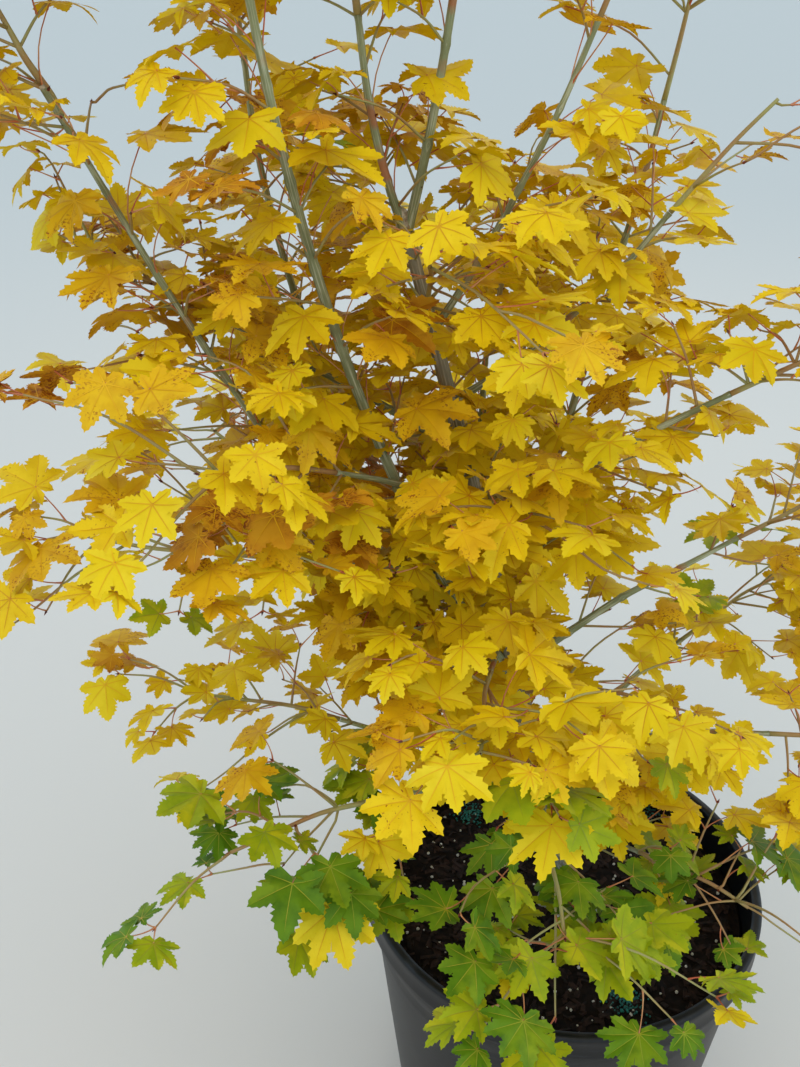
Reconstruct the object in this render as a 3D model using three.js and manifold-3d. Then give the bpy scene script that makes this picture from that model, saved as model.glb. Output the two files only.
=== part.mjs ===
// A young Japanese maple in autumn leaf, standing in a round black nursery pot.
// Millimetres, +Z up. The origin is the centre of the pot's underside, and +Y points away from the front.
// A leaning trunk carries long whippy boughs, and each bough ends in one mass of foliage: a stem, its
// twigs and the five-lobed leaves that grow on them by a seeded rule.
import * as THREE from "three";
import { mergeVertices } from "three/addons/utils/BufferGeometryUtils.js";
import Module from "manifold-3d";

const wasm = await Module();
wasm.setup();

const UP = new THREE.Vector3(0, 0, 1);
const JOINT_GAP = 0.3; // between two pieces that meet

// Pot: a moulded shell with a flat underside, a flared wall and a thick rolled rim
const POT_HEIGHT = 400;
const POT_RIM_RADIUS = 240;
const POT_FOOT_RADIUS = 192;
const POT_WALL = 3.5;
const POT_FLOOR = 4;
const RIM_BAND = 34;
const RIM_STANDS_OUT = 9;
const RIM_ROUNDING = 5;
const POT_SEGMENTS = 36;

// Compost: it fills the pot to a hand's breadth under the rim, flat round the trunk
const SOIL_TOP = 356;
const SOIL_FLAT_RADIUS = 46;
const SOIL_FALL = 9;

// Trunk: one leaning leader with root flare, ending in a dry stub at its fork
const TRUNK = { azimuth: 155, lean: [12, 17.6], length: 838, radii: [15, 6] };
const TRUNK_SIDES = 10;
const FLARE_WIDTH = 13;
const FLARE_HEIGHT = 34;
const FLARE_ROOTS = 5;
const FLARE_DEPTH = 0.3;

const PATH_STEP = 80; // between two nodes of a limb
const ZIGZAG = 3; // degrees that a limb turns to and fro at its nodes
const BOUGH_SIDES = 6;

// Boughs, from the trunk's base up. `at` is the share of the trunk's length where one leaves it, azimuth 0
// is +X and 90 is +Y, `turn` adds to the azimuth along the way, and lean is from upright. `spray` is the
// mass of foliage that carries the bough on: the length of its stem and its last lean.
const BOUGHS = [
  {
    name: "front_right_low", at: 0.12, azimuth: 318, turn: 6, lean: [56, 84], length: 130, radii: [4.6, 2.6],
    spray: { length: 130, lean: 104 },
  },
  {
    name: "left_low", at: 0.16, azimuth: 172, turn: 4, lean: [52, 78], length: 270, radii: [5.4, 2.8],
    spray: { length: 170, lean: 88 },
  },
  {
    name: "back_right_low", at: 0.19, azimuth: 44, turn: -8, lean: [54, 76], length: 270, radii: [5.6, 2.8],
    spray: { length: 170, lean: 86 },
  },
  {
    name: "front_left_low", at: 0.2, azimuth: 214, turn: -6, lean: [56, 84], length: 250, radii: [5.4, 2.8],
    spray: { length: 150, lean: 104 },
  },
  {
    name: "right_low", at: 0.25, azimuth: 348, turn: 6, lean: [60, 88], length: 270, radii: [5.4, 2.8],
    spray: { length: 170, lean: 98 },
  },
  {
    name: "back_left_low", at: 0.23, azimuth: 122, turn: 6, lean: [52, 76], length: 260, radii: [5.4, 2.8],
    spray: { length: 170, lean: 86 },
  },
  {
    name: "front_low", at: 0.24, azimuth: 266, turn: 8, lean: [60, 98], length: 130, radii: [4.8, 2.8],
    spray: { length: 120, lean: 118 },
  },
  {
    name: "stem_left", at: 0.27, azimuth: 186, turn: -5, lean: [39, 26], length: 758, radii: [7.4, 4.2],
    spray: { length: 170, lean: 24 },
  },
  {
    name: "back_low", at: 0.34, azimuth: 86, turn: 4, lean: [50, 74], length: 290, radii: [5.2, 2.8],
    spray: { length: 170, lean: 82 },
  },
  {
    name: "stem_front_left", at: 0.37, azimuth: 198, turn: -15, lean: [32, 5], length: 850, radii: [7.8, 4.2],
    spray: { length: 180, lean: 6 },
  },
  {
    name: "right_middle", at: 0.4, azimuth: 10, turn: 6, lean: [52, 72], length: 290, radii: [5.2, 2.8],
    spray: { length: 180, lean: 82 },
  },
  {
    name: "stem_back_left", at: 0.42, azimuth: 140, turn: 9, lean: [59, 3], length: 720, radii: [6.2, 3.4],
    spray: { length: 170, lean: 12 },
  },
  {
    name: "stem_back_right", at: 0.46, azimuth: 69, turn: -27, lean: [49, 15], length: 614, radii: [6, 3.2],
    spray: { length: 170, lean: 14 },
  },
  {
    name: "left_middle", at: 0.5, azimuth: 206, turn: -20, lean: [50, 88], length: 270, radii: [5.2, 2.8],
    spray: { length: 170, lean: 80 },
  },
  {
    name: "front_middle", at: 0.44, azimuth: 252, turn: 10, lean: [52, 84], length: 140, radii: [4.6, 2.6],
    spray: { length: 130, lean: 96 },
  },
  {
    name: "back_left_middle", at: 0.33, azimuth: 156, turn: -12, lean: [48, 64], length: 340, radii: [5.2, 3],
    spray: { length: 170, lean: 72 },
  },
  {
    name: "right_upper", at: 0.58, azimuth: 322, turn: 22, lean: [34, 58], length: 320, radii: [5, 2.8],
    spray: { length: 170, lean: 68 },
  },
  {
    name: "front_left_upper", at: 0.62, azimuth: 218, turn: 4, lean: [48, 68], length: 220, radii: [4.6, 2.6],
    spray: { length: 150, lean: 80 },
  },
  {
    name: "back_upper", at: 0.66, azimuth: 84, turn: -6, lean: [46, 58], length: 230, radii: [4.6, 2.8],
    spray: { length: 160, lean: 64 },
  },
  {
    name: "left_upper", at: 0.71, azimuth: 186, turn: -8, lean: [54, 62], length: 270, radii: [4.8, 2.8],
    spray: { length: 160, lean: 66 },
  },
  {
    name: "right_high", at: 0.78, azimuth: 18, turn: -19, lean: [64, 34], length: 282, radii: [4.6, 2.8],
    spray: { length: 150, lean: 44 },
  },
  {
    name: "stem_right", at: 0.87, azimuth: 10, turn: -8, lean: [34, 20], length: 316, radii: [4.2, 2.8],
    spray: { length: 170, lean: 14 },
  },
  {
    name: "fork_right", at: 0.985, azimuth: 8, turn: 6, lean: [14, 2], length: 430, radii: [4.8, 3.4],
    spray: { length: 190, lean: 4 },
  },
  {
    name: "fork_left", at: 0.965, azimuth: 184, turn: -4, lean: [22, 4], length: 215, radii: [4.8, 3.6],
    spray: { length: 160, lean: 6 },
  },
];

// Masses of foliage that grow straight from the trunk and fill the inside of the crown
const TRUNK_SPRAYS = [
  { name: "inner_right_low", at: 0.36, azimuth: 322, turn: 0, lean: [54, 84], length: 190, radius: 3.2 },
  { name: "inner_back", at: 0.5, azimuth: 92, turn: 0, lean: [54, 70], length: 190, radius: 3.2 },
  { name: "inner_front", at: 0.66, azimuth: 280, turn: 0, lean: [56, 84], length: 190, radius: 3.2 },
  { name: "inner_front_high", at: 0.88, azimuth: 268, turn: 0, lean: [46, 64], length: 190, radius: 3 },
  { name: "inner_back_high", at: 0.9, azimuth: 112, turn: 0, lean: [44, 54], length: 180, radius: 3 },
];

// Twigs: pairs that stand crosswise to the pair below, spread out flat to the light
const TWIG_NODES = [0.2, 0.52, 0.84]; // shares of the stem's length where a pair stands
const TWIG_STAGGER = 5;
const TWIG_SPREAD = 56;
const TWIG_SPREAD_PLAY = 9;
const TWIG_SHARE = 0.5; // of the stem's length, for a twig at its foot
const TWIG_THINNING = 0.35;
const TWIG_FLATTEN = 0.62;
const TWIG_RADIUS = 1.7;
const STEM_TIP_RADIUS = 3;

// Leaves: five pointed lobes on a stalk, each one standing for the few real ones of a short shoot
const LEAF_RADIUS = 112; // from the stalk to the middle lobe's tip
const LEAF_HALF_THICKNESS = 0.016;
const LOBES = [
  { angle: -106, reach: 0.7 },
  { angle: -52, reach: 0.94 },
  { angle: 0, reach: 1 },
  { angle: 52, reach: 0.94 },
  { angle: 106, reach: 0.7 },
];
const NOTCH_REACH = 0.54;
const LOBE_DROOP = 0.1;
const STALK_LENGTH = 40;
const STALK_RADIUS = 0.7;
const STALK_RAISED = 0.4; // a side leaf's stalk is rooted this far above its twig's axis
const PAIR_NODES = [0.78, 0.7]; // shares of the twig's length where its side leaves stand
const STALK_CLEAR = 10;
const STALK_SEAT = [0.02, 0.06]; // half width and set-back of the blade's seat on its stalk
const LEAF_PITCH = [8, 30]; // degrees that a blade's tip hangs below level
const LEAF_ROLL = 14;
const LEAF_FORK = 74; // degrees between a twig and the stalks of its pair
const LEAF_TURNS = [0, 22, -22, 44, -44, 66, -66]; // tried in turn until the leaf has room
const LEAF_STRETCHES = [1, 0.7, 1.5];
const LEAF_CLEARANCE = 1.5;
const LOWEST_LEAF = 300;
const HIGHEST_LEAF = 1850;
const CELL_SHARED = 40; // a mass may reach this far past the middle between it and the next
const FUSING = 0.02;
const THINNEST_FACE = 0.003; // the least height of a face that fusing may leave

const COLOURS = {
  plastic: { color: "#1c1e22", roughness: 0.5, metalness: 0 },
  compost: { color: "#2b1a10", roughness: 0.95, metalness: 0 },
  bark: { color: "#77806a", roughness: 0.8, metalness: 0 },
  leaf: { color: "#e3b410", roughness: 0.6, metalness: 0 },
  lowLeaf: { color: "#a9b021", roughness: 0.6, metalness: 0 },
};

const lerp = THREE.MathUtils.lerp;
const radians = THREE.MathUtils.degToRad;

// A repeatable stream of numbers from 0 to 1.
function seeded(seed) {
  let state = (seed * 7919 + 17) >>> 0;
  return () => {
    state = (Math.imul(state, 1664525) + 1013904223) >>> 0;
    return state / 4294967296;
  };
}

// The unit vector of a heading, from its azimuth and its lean from upright.
function heading(azimuth, lean) {
  const a = radians(azimuth);
  const l = radians(lean);
  return new THREE.Vector3(Math.sin(l) * Math.cos(a), Math.sin(l) * Math.sin(a), Math.cos(l));
}

// The nodes of a limb: it starts at one heading and bends evenly to another, with a slight zigzag.
function limbPath(start, { azimuth, turn = 0, lean, length }) {
  const steps = Math.max(3, Math.round(length / PATH_STEP));
  const points = [start.clone()];
  for (let i = 0; i < steps; i += 1) {
    const share = (i + 0.5) / steps;
    const swing = i % 2 ? ZIGZAG : -ZIGZAG;
    const way = heading(azimuth + turn * share + swing, lerp(lean[0], lean[1], share));
    points.push(points[i].clone().addScaledVector(way, length / steps));
  }
  return points;
}

// The point at a share of a path's length, and the path's direction there.
function pointOn(path, share) {
  const place = THREE.MathUtils.clamp(share, 0, 1) * (path.length - 1);
  const i = Math.min(Math.floor(place), path.length - 2);
  return path[i].clone().lerp(path[i + 1], place - i);
}

function directionOn(path, share) {
  const i = Math.min(Math.floor(share * (path.length - 1)), path.length - 2);
  return path[i + 1].clone().sub(path[i]).normalize();
}

// Two unit vectors square to each other and to a direction.
function crossways(along) {
  const level = Math.abs(along.z) > 0.98 ? new THREE.Vector3(1, 0, 0) : UP;
  const side = along.clone().cross(level).normalize();
  return [side, side.clone().cross(along).normalize()];
}

// A closed tube along a path: a cylinder whose rings are moved to the path's points.
function taperedTube(path, sides, radiusAt) {
  const rings = path.length - 1;
  const tube = new THREE.CylinderGeometry(1, 1, 1, sides, rings);
  const frames = [];
  let normal = crossways(directionOn(path, 0))[0];
  path.forEach((point, i) => {
    const before = path[Math.max(i - 1, 0)];
    const after = path[Math.min(i + 1, rings)];
    const along = after.clone().sub(before).normalize();
    normal = normal.clone().addScaledVector(along, -normal.dot(along)).normalize();
    frames.push({ point, normal, across: normal.clone().cross(along) });
  });
  const position = tube.getAttribute("position");
  for (let i = 0; i < position.count; i += 1) {
    const share = position.getY(i) + 0.5;
    const { point, normal: n, across } = frames[Math.round(share * rings)];
    const [x, z] = [position.getX(i), position.getZ(i)];
    const radius = radiusAt(share, Math.atan2(z, x));
    const moved = point.clone().addScaledVector(n, x * radius).addScaledVector(across, z * radius);
    position.setXYZ(i, moved.x, moved.y, moved.z);
  }
  return tube;
}

// A three.js geometry as a solid, and a solid as a three.js geometry.
function solidOf(geometry) {
  const bare = geometry.clone();
  bare.deleteAttribute("normal");
  bare.deleteAttribute("uv");
  const merged = mergeVertices(bare, 1e-4);
  return new wasm.Manifold(
    new wasm.Mesh({
      numProp: 3,
      vertProperties: new Float32Array(merged.attributes.position.array),
      triVerts: new Uint32Array(merged.index.array),
    }),
  );
}

function geometryOf(solid) {
  const mesh = solid.getMesh();
  const geometry = new THREE.BufferGeometry();
  geometry.setAttribute("position", new THREE.BufferAttribute(mesh.vertProperties, mesh.numProp));
  geometry.setIndex(new THREE.BufferAttribute(mesh.triVerts, 1));
  return geometry;
}

// Whether fusing has left no sliver among a solid's faces, and no edge along which it only touches itself.
function isSound(solid) {
  const { vertProperties, numProp, triVerts } = solid.getMesh();
  const edges = new Set();
  for (let i = 0; i < triVerts.length; i += 3) {
    const corners = [0, 1, 2].map((k) => new THREE.Vector3().fromArray(vertProperties, triVerts[i + k] * numProp));
    const longest = Math.max(...corners.map((p, k) => p.distanceTo(corners[(k + 1) % 3])));
    if ((2 * new THREE.Triangle(...corners).getArea()) / longest < THINNEST_FACE) return false;
    const names = corners.map((p) => p.toArray().map((x) => x.toFixed(3)).join());
    names.forEach((name, k) => edges.add(name + " " + names[(k + 1) % 3]));
  }
  return edges.size === triVerts.length;
}

// The largest body of a solid: a cut can leave a scrap on the far side.
function largestBody(solid) {
  return solid.decompose().reduce((most, body) => (body.volume() > most.volume() ? body : most));
}

function revolved(profile) {
  const points = profile.map(([radius, height]) => new THREE.Vector2(radius, height));
  return new THREE.LatheGeometry(points, POT_SEGMENTS).rotateX(Math.PI / 2);
}

function potInsideRadius(height) {
  const neck = POT_RIM_RADIUS - RIM_STANDS_OUT;
  return lerp(POT_FOOT_RADIUS, neck, height / (POT_HEIGHT - RIM_BAND)) - POT_WALL;
}

function potGeometry() {
  const neckHeight = POT_HEIGHT - RIM_BAND;
  const neck = POT_RIM_RADIUS - RIM_STANDS_OUT;
  const throat = potInsideRadius(neckHeight);
  return revolved([
    [0, 0],
    [POT_FOOT_RADIUS - RIM_ROUNDING, 0],
    [POT_FOOT_RADIUS, RIM_ROUNDING],
    [neck, neckHeight],
    [POT_RIM_RADIUS, neckHeight + 1],
    [POT_RIM_RADIUS, POT_HEIGHT - RIM_ROUNDING],
    [POT_RIM_RADIUS - RIM_ROUNDING, POT_HEIGHT],
    [throat + RIM_ROUNDING, POT_HEIGHT],
    [throat, POT_HEIGHT - RIM_ROUNDING],
    [throat, neckHeight],
    [potInsideRadius(POT_FLOOR), POT_FLOOR],
    [0, POT_FLOOR],
  ]);
}

function soilGeometry() {
  const bottom = POT_FLOOR + JOINT_GAP;
  const edge = SOIL_TOP - SOIL_FALL;
  const edgeRadius = potInsideRadius(edge) - JOINT_GAP;
  return revolved([
    [0, bottom],
    [potInsideRadius(bottom) - JOINT_GAP, bottom],
    [edgeRadius, edge],
    [lerp(SOIL_FLAT_RADIUS, edgeRadius, 0.5), SOIL_TOP - 0.4 * SOIL_FALL],
    [SOIL_FLAT_RADIUS, SOIL_TOP],
    [0, SOIL_TOP],
  ]);
}

// The trunk starts under the compost and is cut flat just above it.
function makeTrunk() {
  const sunk = 40;
  const [thick, thin] = TRUNK.radii;
  const foot = new THREE.Vector3(0, 0, SOIL_TOP + JOINT_GAP);
  const path = limbPath(foot, TRUNK);
  const below = path[0].clone().addScaledVector(directionOn(path, 0), -sunk);
  const collar = path[0].clone().addScaledVector(directionOn(path, 0), FLARE_HEIGHT);
  const full = [below, path[0], collar, ...path.slice(1)];
  const radiusAt = (grow) => (share, angle) => {
    const height = Math.max(pointOn(full, share).z - foot.z, 0);
    const risen = height / (path.at(-1).z - foot.z);
    const flare = FLARE_WIDTH * Math.exp((-2 * height) / FLARE_HEIGHT);
    const ridge = 1 + FLARE_DEPTH * Math.cos(FLARE_ROOTS * angle);
    return lerp(thick, thin, risen ** 0.85) + flare * ridge + grow;
  };
  const ground = solidOf(
    new THREE.BoxGeometry(400, 400, 200).translate(0, 0, foot.z - 100),
  );
  return {
    path,
    solid: solidOf(taperedTube(full, TRUNK_SIDES, radiusAt(0))).subtract(ground),
    grown: solidOf(taperedTube(full, TRUNK_SIDES, radiusAt(JOINT_GAP))),
  };
}

function makeBough(spec, trunk) {
  const path = limbPath(pointOn(trunk.path, spec.at), spec);
  const radiusAt = (grow) => (share) => lerp(spec.radii[0], spec.radii[1], share ** 0.8) + grow;
  const tube = solidOf(taperedTube(path, BOUGH_SIDES, radiusAt(0)));
  return {
    path,
    solid: largestBody(tube.subtract(trunk.grown)).simplify(FUSING),
    gap: solidOf(taperedTube(path, BOUGH_SIDES, radiusAt(JOINT_GAP))),
    grown: solidOf(taperedTube(path, BOUGH_SIDES, radiusAt(LEAF_CLEARANCE))),
  };
}

// The stem of a mass carries its bough on, just clear of the bough's tip, or leaves the trunk's side.
function sprayOnBough({ name, turn, radii, spray }, bough) {
  const along = directionOn(bough.path, 1);
  const start = bough.path.at(-1).clone().addScaledVector(along, JOINT_GAP);
  const azimuth = THREE.MathUtils.radToDeg(Math.atan2(along.y, along.x)) + ZIGZAG;
  const lean = [THREE.MathUtils.radToDeg(Math.acos(along.z)), spray.lean];
  const path = limbPath(start, { azimuth, turn: turn / 2, lean, length: spray.length });
  return { name: "leaves_" + name, path, length: spray.length, radius: radii[1] };
}

function sprayOnTrunk(spec, trunk) {
  const path = limbPath(pointOn(trunk.path, spec.at), spec);
  return { name: "leaves_" + spec.name, path, length: spec.length, radius: spec.radius };
}

// Where the twigs of a stem leave it, with their headings and lengths: three draws for each twig.
function twigsOf(spray, draw) {
  const twigs = [];
  const phase = draw() * 90;
  TWIG_NODES.forEach((share, node) => {
    const along = directionOn(spray.path, share);
    const [across, over] = crossways(along);
    const turned = radians(phase + 90 * node);
    for (const sign of [1, -1]) {
      const out = across.clone().multiplyScalar(sign * Math.cos(turned));
      out.addScaledVector(over, sign * Math.sin(turned));
      const spread = radians(TWIG_SPREAD + TWIG_SPREAD_PLAY * (2 * draw() - 1));
      const way = along.clone().multiplyScalar(Math.cos(spread)).addScaledVector(out, Math.sin(spread));
      way.z = way.z * TWIG_FLATTEN + 0.12 * draw();
      const start = pointOn(spray.path, share).addScaledVector(along, sign > 0 ? 0 : TWIG_STAGGER);
      const length = spray.length * TWIG_SHARE * (1 - TWIG_THINNING * share) * (0.8 + 0.4 * draw());
      twigs.push({ start, way: way.normalize(), length });
    }
  });
  return twigs;
}

// One leaf: a thin blade of five lobes fanned about its seat, on a three-sided stalk.
function leafGeometry({ root, away, stalk, thick, facing, pitch, roll }, clear = 0) {
  const seat = root.clone().addScaledVector(away, stalk);
  const ahead = facing.clone().multiplyScalar(Math.cos(pitch)).addScaledVector(UP, -Math.sin(pitch));
  const face = UP.clone().addScaledVector(ahead, -UP.dot(ahead)).normalize().applyAxisAngle(ahead, roll);
  const right = ahead.clone().cross(face);
  const at = (x, y, z) =>
    seat
      .clone()
      .addScaledVector(right, x * LEAF_RADIUS)
      .addScaledVector(ahead, y * LEAF_RADIUS)
      .addScaledVector(face, z * LEAF_RADIUS);
  const polar = (angle, reach, z) => at(-reach * Math.sin(radians(angle)), reach * Math.cos(radians(angle)), z);
  const [half, back] = STALK_SEAT;
  const outline = [at(half, -back, 0)];
  LOBES.forEach(({ angle, reach }, i) => {
    outline.push(polar(angle, reach, -LOBE_DROOP * reach));
    if (i < LOBES.length - 1) outline.push(polar((angle + LOBES[i + 1].angle) / 2, NOTCH_REACH, 0));
  });
  outline.push(at(-half, -back, 0));
  const count = outline.length;
  const foot = root.clone().addScaledVector(away, clear);
  const above = face.clone().addScaledVector(away, -face.dot(away)).normalize();
  const beside = away.clone().cross(above);
  const points = [
    ...outline,
    at(0, 0, LEAF_HALF_THICKNESS),
    at(0, 0, -LEAF_HALF_THICKNESS),
    foot.clone().addScaledVector(beside, 0.87 * thick).addScaledVector(above, -0.5 * thick),
    foot.clone().addScaledVector(beside, -0.87 * thick).addScaledVector(above, -0.5 * thick),
    foot.clone().addScaledVector(above, thick),
  ];
  const [seatRight, seatLeft, top, under] = [0, count - 1, count, count + 1];
  const [footRight, footLeft, footTop] = [count + 2, count + 3, count + 4];
  const faces = [[under, seatRight, seatLeft]];
  for (let i = 0; i < count - 1; i += 1) faces.push([top, i, i + 1], [under, i + 1, i]);
  faces.push([seatLeft, seatRight, footRight], [seatLeft, footRight, footLeft]);
  faces.push([seatRight, top, footTop], [seatRight, footTop, footRight]);
  faces.push([top, seatLeft, footLeft], [top, footLeft, footTop]);
  faces.push([footTop, footLeft, footRight]);
  const geometry = new THREE.BufferGeometry().setFromPoints(points);
  geometry.setIndex(faces.flat());
  return geometry;
}

const levelled = (way) => new THREE.Vector3(way.x, way.y, 0).normalize();

// The way a leaf hangs on a stalk with a given heading: three draws.
function hangLeaf(root, away, thick, draw) {
  return {
    root,
    away,
    thick,
    facing: levelled(away),
    stalk: STALK_LENGTH * (0.85 + 0.3 * draw()),
    pitch: radians(lerp(LEAF_PITCH[0], LEAF_PITCH[1], draw())),
    roll: radians(LEAF_ROLL * (2 * draw() - 1)),
  };
}

// A twig's end leaf, whose stalk is the twig itself.
function endLeafOf({ start, way, length }, draw) {
  const leaf = hangLeaf(start, way, TWIG_RADIUS, draw);
  return { ...leaf, stalk: leaf.stalk + length };
}

// The pair of leaves on the stalk of an end leaf: two more draws for each.
function sideLeavesOf({ root, away: way, stalk }, draw) {
  return PAIR_NODES.map((share, i) => {
    const fork = LEAF_FORK * (0.8 + 0.4 * draw()) * (i ? -1 : 1);
    const away = way.clone().applyAxisAngle(UP, radians(fork));
    away.z += 0.1 + 0.25 * draw();
    const foot = root.clone().addScaledVector(way, stalk * share).addScaledVector(UP, STALK_RAISED);
    return hangLeaf(foot, away.normalize(), STALK_RADIUS, draw);
  });
}

function verticesOf(geometry) {
  const position = geometry.getAttribute("position");
  return Array.from({ length: position.count }, (_, i) => new THREE.Vector3().fromBufferAttribute(position, i));
}

function isInCell(points, own, centres) {
  return points.every(
    (p) =>
      p.z > LOWEST_LEAF &&
      p.z < HIGHEST_LEAF &&
      centres.every((other) => {
        if (other === own) return true;
        const nearer = p.distanceToSquared(own) - p.distanceToSquared(other);
        return nearer / (2 * own.distanceTo(other)) < CELL_SHARED;
      }),
  );
}

// Whether two solids meet, after a look at their boxes.
function meets(one, other) {
  const [a, b] = [one.boundingBox(), other.boundingBox()];
  const apart = [0, 1, 2].some((k) => a.min[k] > b.max[k] || b.min[k] > a.max[k]);
  return !apart && !one.intersect(other).isEmpty();
}

// A mass of foliage, grown inside its own share of the crown. What would leave it, or touch a limb or
// another leaf, is left out.
function growMass(index, sprays, stems, centres, blocked) {
  const others = [...blocked, ...stems.filter((stem, i) => i !== index)];
  const twigDraw = seeded(index + 1);
  const leafDraw = seeded(index + 101);
  const { path, length } = sprays[index];
  let mass = stems[index];
  const addFirst = (choices) => {
    for (const leaf of choices) {
      const probe = leafGeometry(leaf, STALK_CLEAR);
      if (!isInCell(verticesOf(probe), centres[index], centres)) continue;
      const blade = solidOf(probe);
      if (meets(blade, mass) || others.some((other) => meets(blade, other))) continue;
      const fused = mass.add(solidOf(leafGeometry(leaf))).simplify(FUSING);
      if (fused.decompose().length > 1 || !isSound(fused)) continue;
      mass = fused;
      return leaf;
    }
    return null;
  };
  const turnedBlades = (leaf) =>
    LEAF_STRETCHES.flatMap((stretch) =>
      LEAF_TURNS.map((turn) => {
        const facing = leaf.facing.clone().applyAxisAngle(UP, radians(turn));
        return { ...leaf, facing, stalk: leaf.stalk * stretch };
      }),
    );
  const turnedStalks = (leaf) =>
    LEAF_STRETCHES.flatMap((stretch) =>
      LEAF_TURNS.map((turn) => {
        const away = leaf.away.clone().applyAxisAngle(UP, radians(turn));
        return { ...leaf, away, facing: levelled(away), stalk: leaf.stalk * stretch };
      }),
    );
  const way = directionOn(path, 1);
  const tip = path.at(-1).clone().addScaledVector(way, -2 * STALK_CLEAR);
  const stemSides = sideLeavesOf({ root: tip, away: way, stalk: STALK_CLEAR }, leafDraw);
  const stemEnd = hangLeaf(path.at(-1).clone().addScaledVector(way, -6), way, STALK_RADIUS, leafDraw);
  addFirst(turnedBlades(stemEnd));
  for (const leaf of stemSides) addFirst(turnedStalks(leaf));
  for (const twig of twigsOf(sprays[index], twigDraw)) {
    const wanted = endLeafOf(twig, leafDraw);
    const end = addFirst(turnedBlades(wanted));
    const sides = sideLeavesOf(end ?? wanted, leafDraw);
    if (end) for (const leaf of sides) addFirst(turnedStalks(leaf));
  }
  return mass;
}

function materialOf({ color, roughness, metalness }) {
  return new THREE.MeshStandardMaterial({ color, roughness, metalness });
}

function meshOf(name, geometry, material) {
  const mesh = new THREE.Mesh(geometry, material);
  mesh.name = name;
  return mesh;
}

const materials = Object.fromEntries(
  Object.entries(COLOURS).map(([name, colour]) => [name, materialOf(colour)]),
);
const maple = new THREE.Group();
maple.add(meshOf("pot", potGeometry(), materials.plastic));
maple.add(meshOf("soil", soilGeometry(), materials.compost));

const trunk = makeTrunk();
maple.add(meshOf("trunk", geometryOf(trunk.solid), materials.bark));

const boughs = BOUGHS.map((spec) => makeBough(spec, trunk));
boughs.forEach((bough, i) => {
  for (const earlier of boughs.slice(0, i)) {
    if (meets(bough.solid, earlier.gap)) bough.solid = largestBody(bough.solid.subtract(earlier.gap));
  }
  maple.add(meshOf("bough_" + BOUGHS[i].name, geometryOf(bough.solid), materials.bark));
});

const sprays = [
  ...TRUNK_SPRAYS.map((spec) => sprayOnTrunk(spec, trunk)),
  ...BOUGHS.map((spec, i) => sprayOnBough(spec, boughs[i])),
];
const stems = sprays.map(({ path, radius }) => {
  const stem = solidOf(taperedTube(path, 3, (share) => lerp(radius, STEM_TIP_RADIUS, share)));
  return largestBody(stem.subtract(trunk.grown));
});
const centres = sprays.map(({ path }) => pointOn(path, 0.6));
const blocked = [
  trunk.grown,
  ...boughs.map(({ grown }) => grown),
  solidOf(potGeometry()),
  solidOf(soilGeometry()),
];
sprays.forEach((spray, i) => {
  const mass = growMass(i, sprays, stems, centres, blocked);
  blocked.push(mass);
  const material = spray.name.endsWith("_low") ? materials.lowLeaf : materials.leaf;
  maple.add(meshOf(spray.name, geometryOf(mass), material));
});

export default maple;
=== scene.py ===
"""A potted Japanese maple in yellow autumn leaf, dressed for its render.

The scene is in metres, +Z up and +Y away from the front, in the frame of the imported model. Growth is
worked out in millimetres by the same rule as the solids: a leaning trunk, tapering boughs, and masses
of foliage on crossed twigs. Each large leaf of a mass is carried on here to a leafy shoot with
life-size leaves, inside the reach of the solid that it replaces.
"""
import logging
import math
from collections.abc import Callable, Sequence
from dataclasses import dataclass, field, replace
from enum import Enum

import bpy
import numpy as np
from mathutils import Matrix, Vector, noise
from mathutils.bvhtree import BVHTree
from mathutils.kdtree import KDTree


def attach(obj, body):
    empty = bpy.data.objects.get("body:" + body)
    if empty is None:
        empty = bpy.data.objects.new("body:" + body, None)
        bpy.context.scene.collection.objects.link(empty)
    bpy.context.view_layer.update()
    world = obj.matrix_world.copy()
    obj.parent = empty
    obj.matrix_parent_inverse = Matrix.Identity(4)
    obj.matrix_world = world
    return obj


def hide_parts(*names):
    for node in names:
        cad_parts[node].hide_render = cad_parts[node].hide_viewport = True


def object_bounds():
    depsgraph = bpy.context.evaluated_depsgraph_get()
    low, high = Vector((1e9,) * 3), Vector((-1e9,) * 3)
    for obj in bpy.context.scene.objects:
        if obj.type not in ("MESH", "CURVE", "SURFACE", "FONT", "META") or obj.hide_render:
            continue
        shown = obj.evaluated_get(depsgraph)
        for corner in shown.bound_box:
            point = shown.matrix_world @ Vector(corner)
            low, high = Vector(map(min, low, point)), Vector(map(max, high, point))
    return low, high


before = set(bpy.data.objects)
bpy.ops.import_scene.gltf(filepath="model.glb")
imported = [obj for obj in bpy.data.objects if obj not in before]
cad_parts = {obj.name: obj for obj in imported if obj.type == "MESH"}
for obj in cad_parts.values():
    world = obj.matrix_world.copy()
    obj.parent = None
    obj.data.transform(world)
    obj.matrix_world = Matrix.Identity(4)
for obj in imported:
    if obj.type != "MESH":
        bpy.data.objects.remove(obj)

CAD_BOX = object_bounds()
BODY = "root"
MM = 0.001
UP = np.array([0.0, 0.0, 1.0])
LOG = logging.getLogger("maple")

Array = np.ndarray
Point = np.ndarray
Path = list[np.ndarray]
Shape = tuple[Array, Array]  # points and faces
Pair = tuple[float, float]
Triple = tuple[float, float, float]
Inputs = dict[str | int, object]
Tree = bpy.types.NodeTree
Socket = bpy.types.NodeSocket


# Numbers and directions


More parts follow.
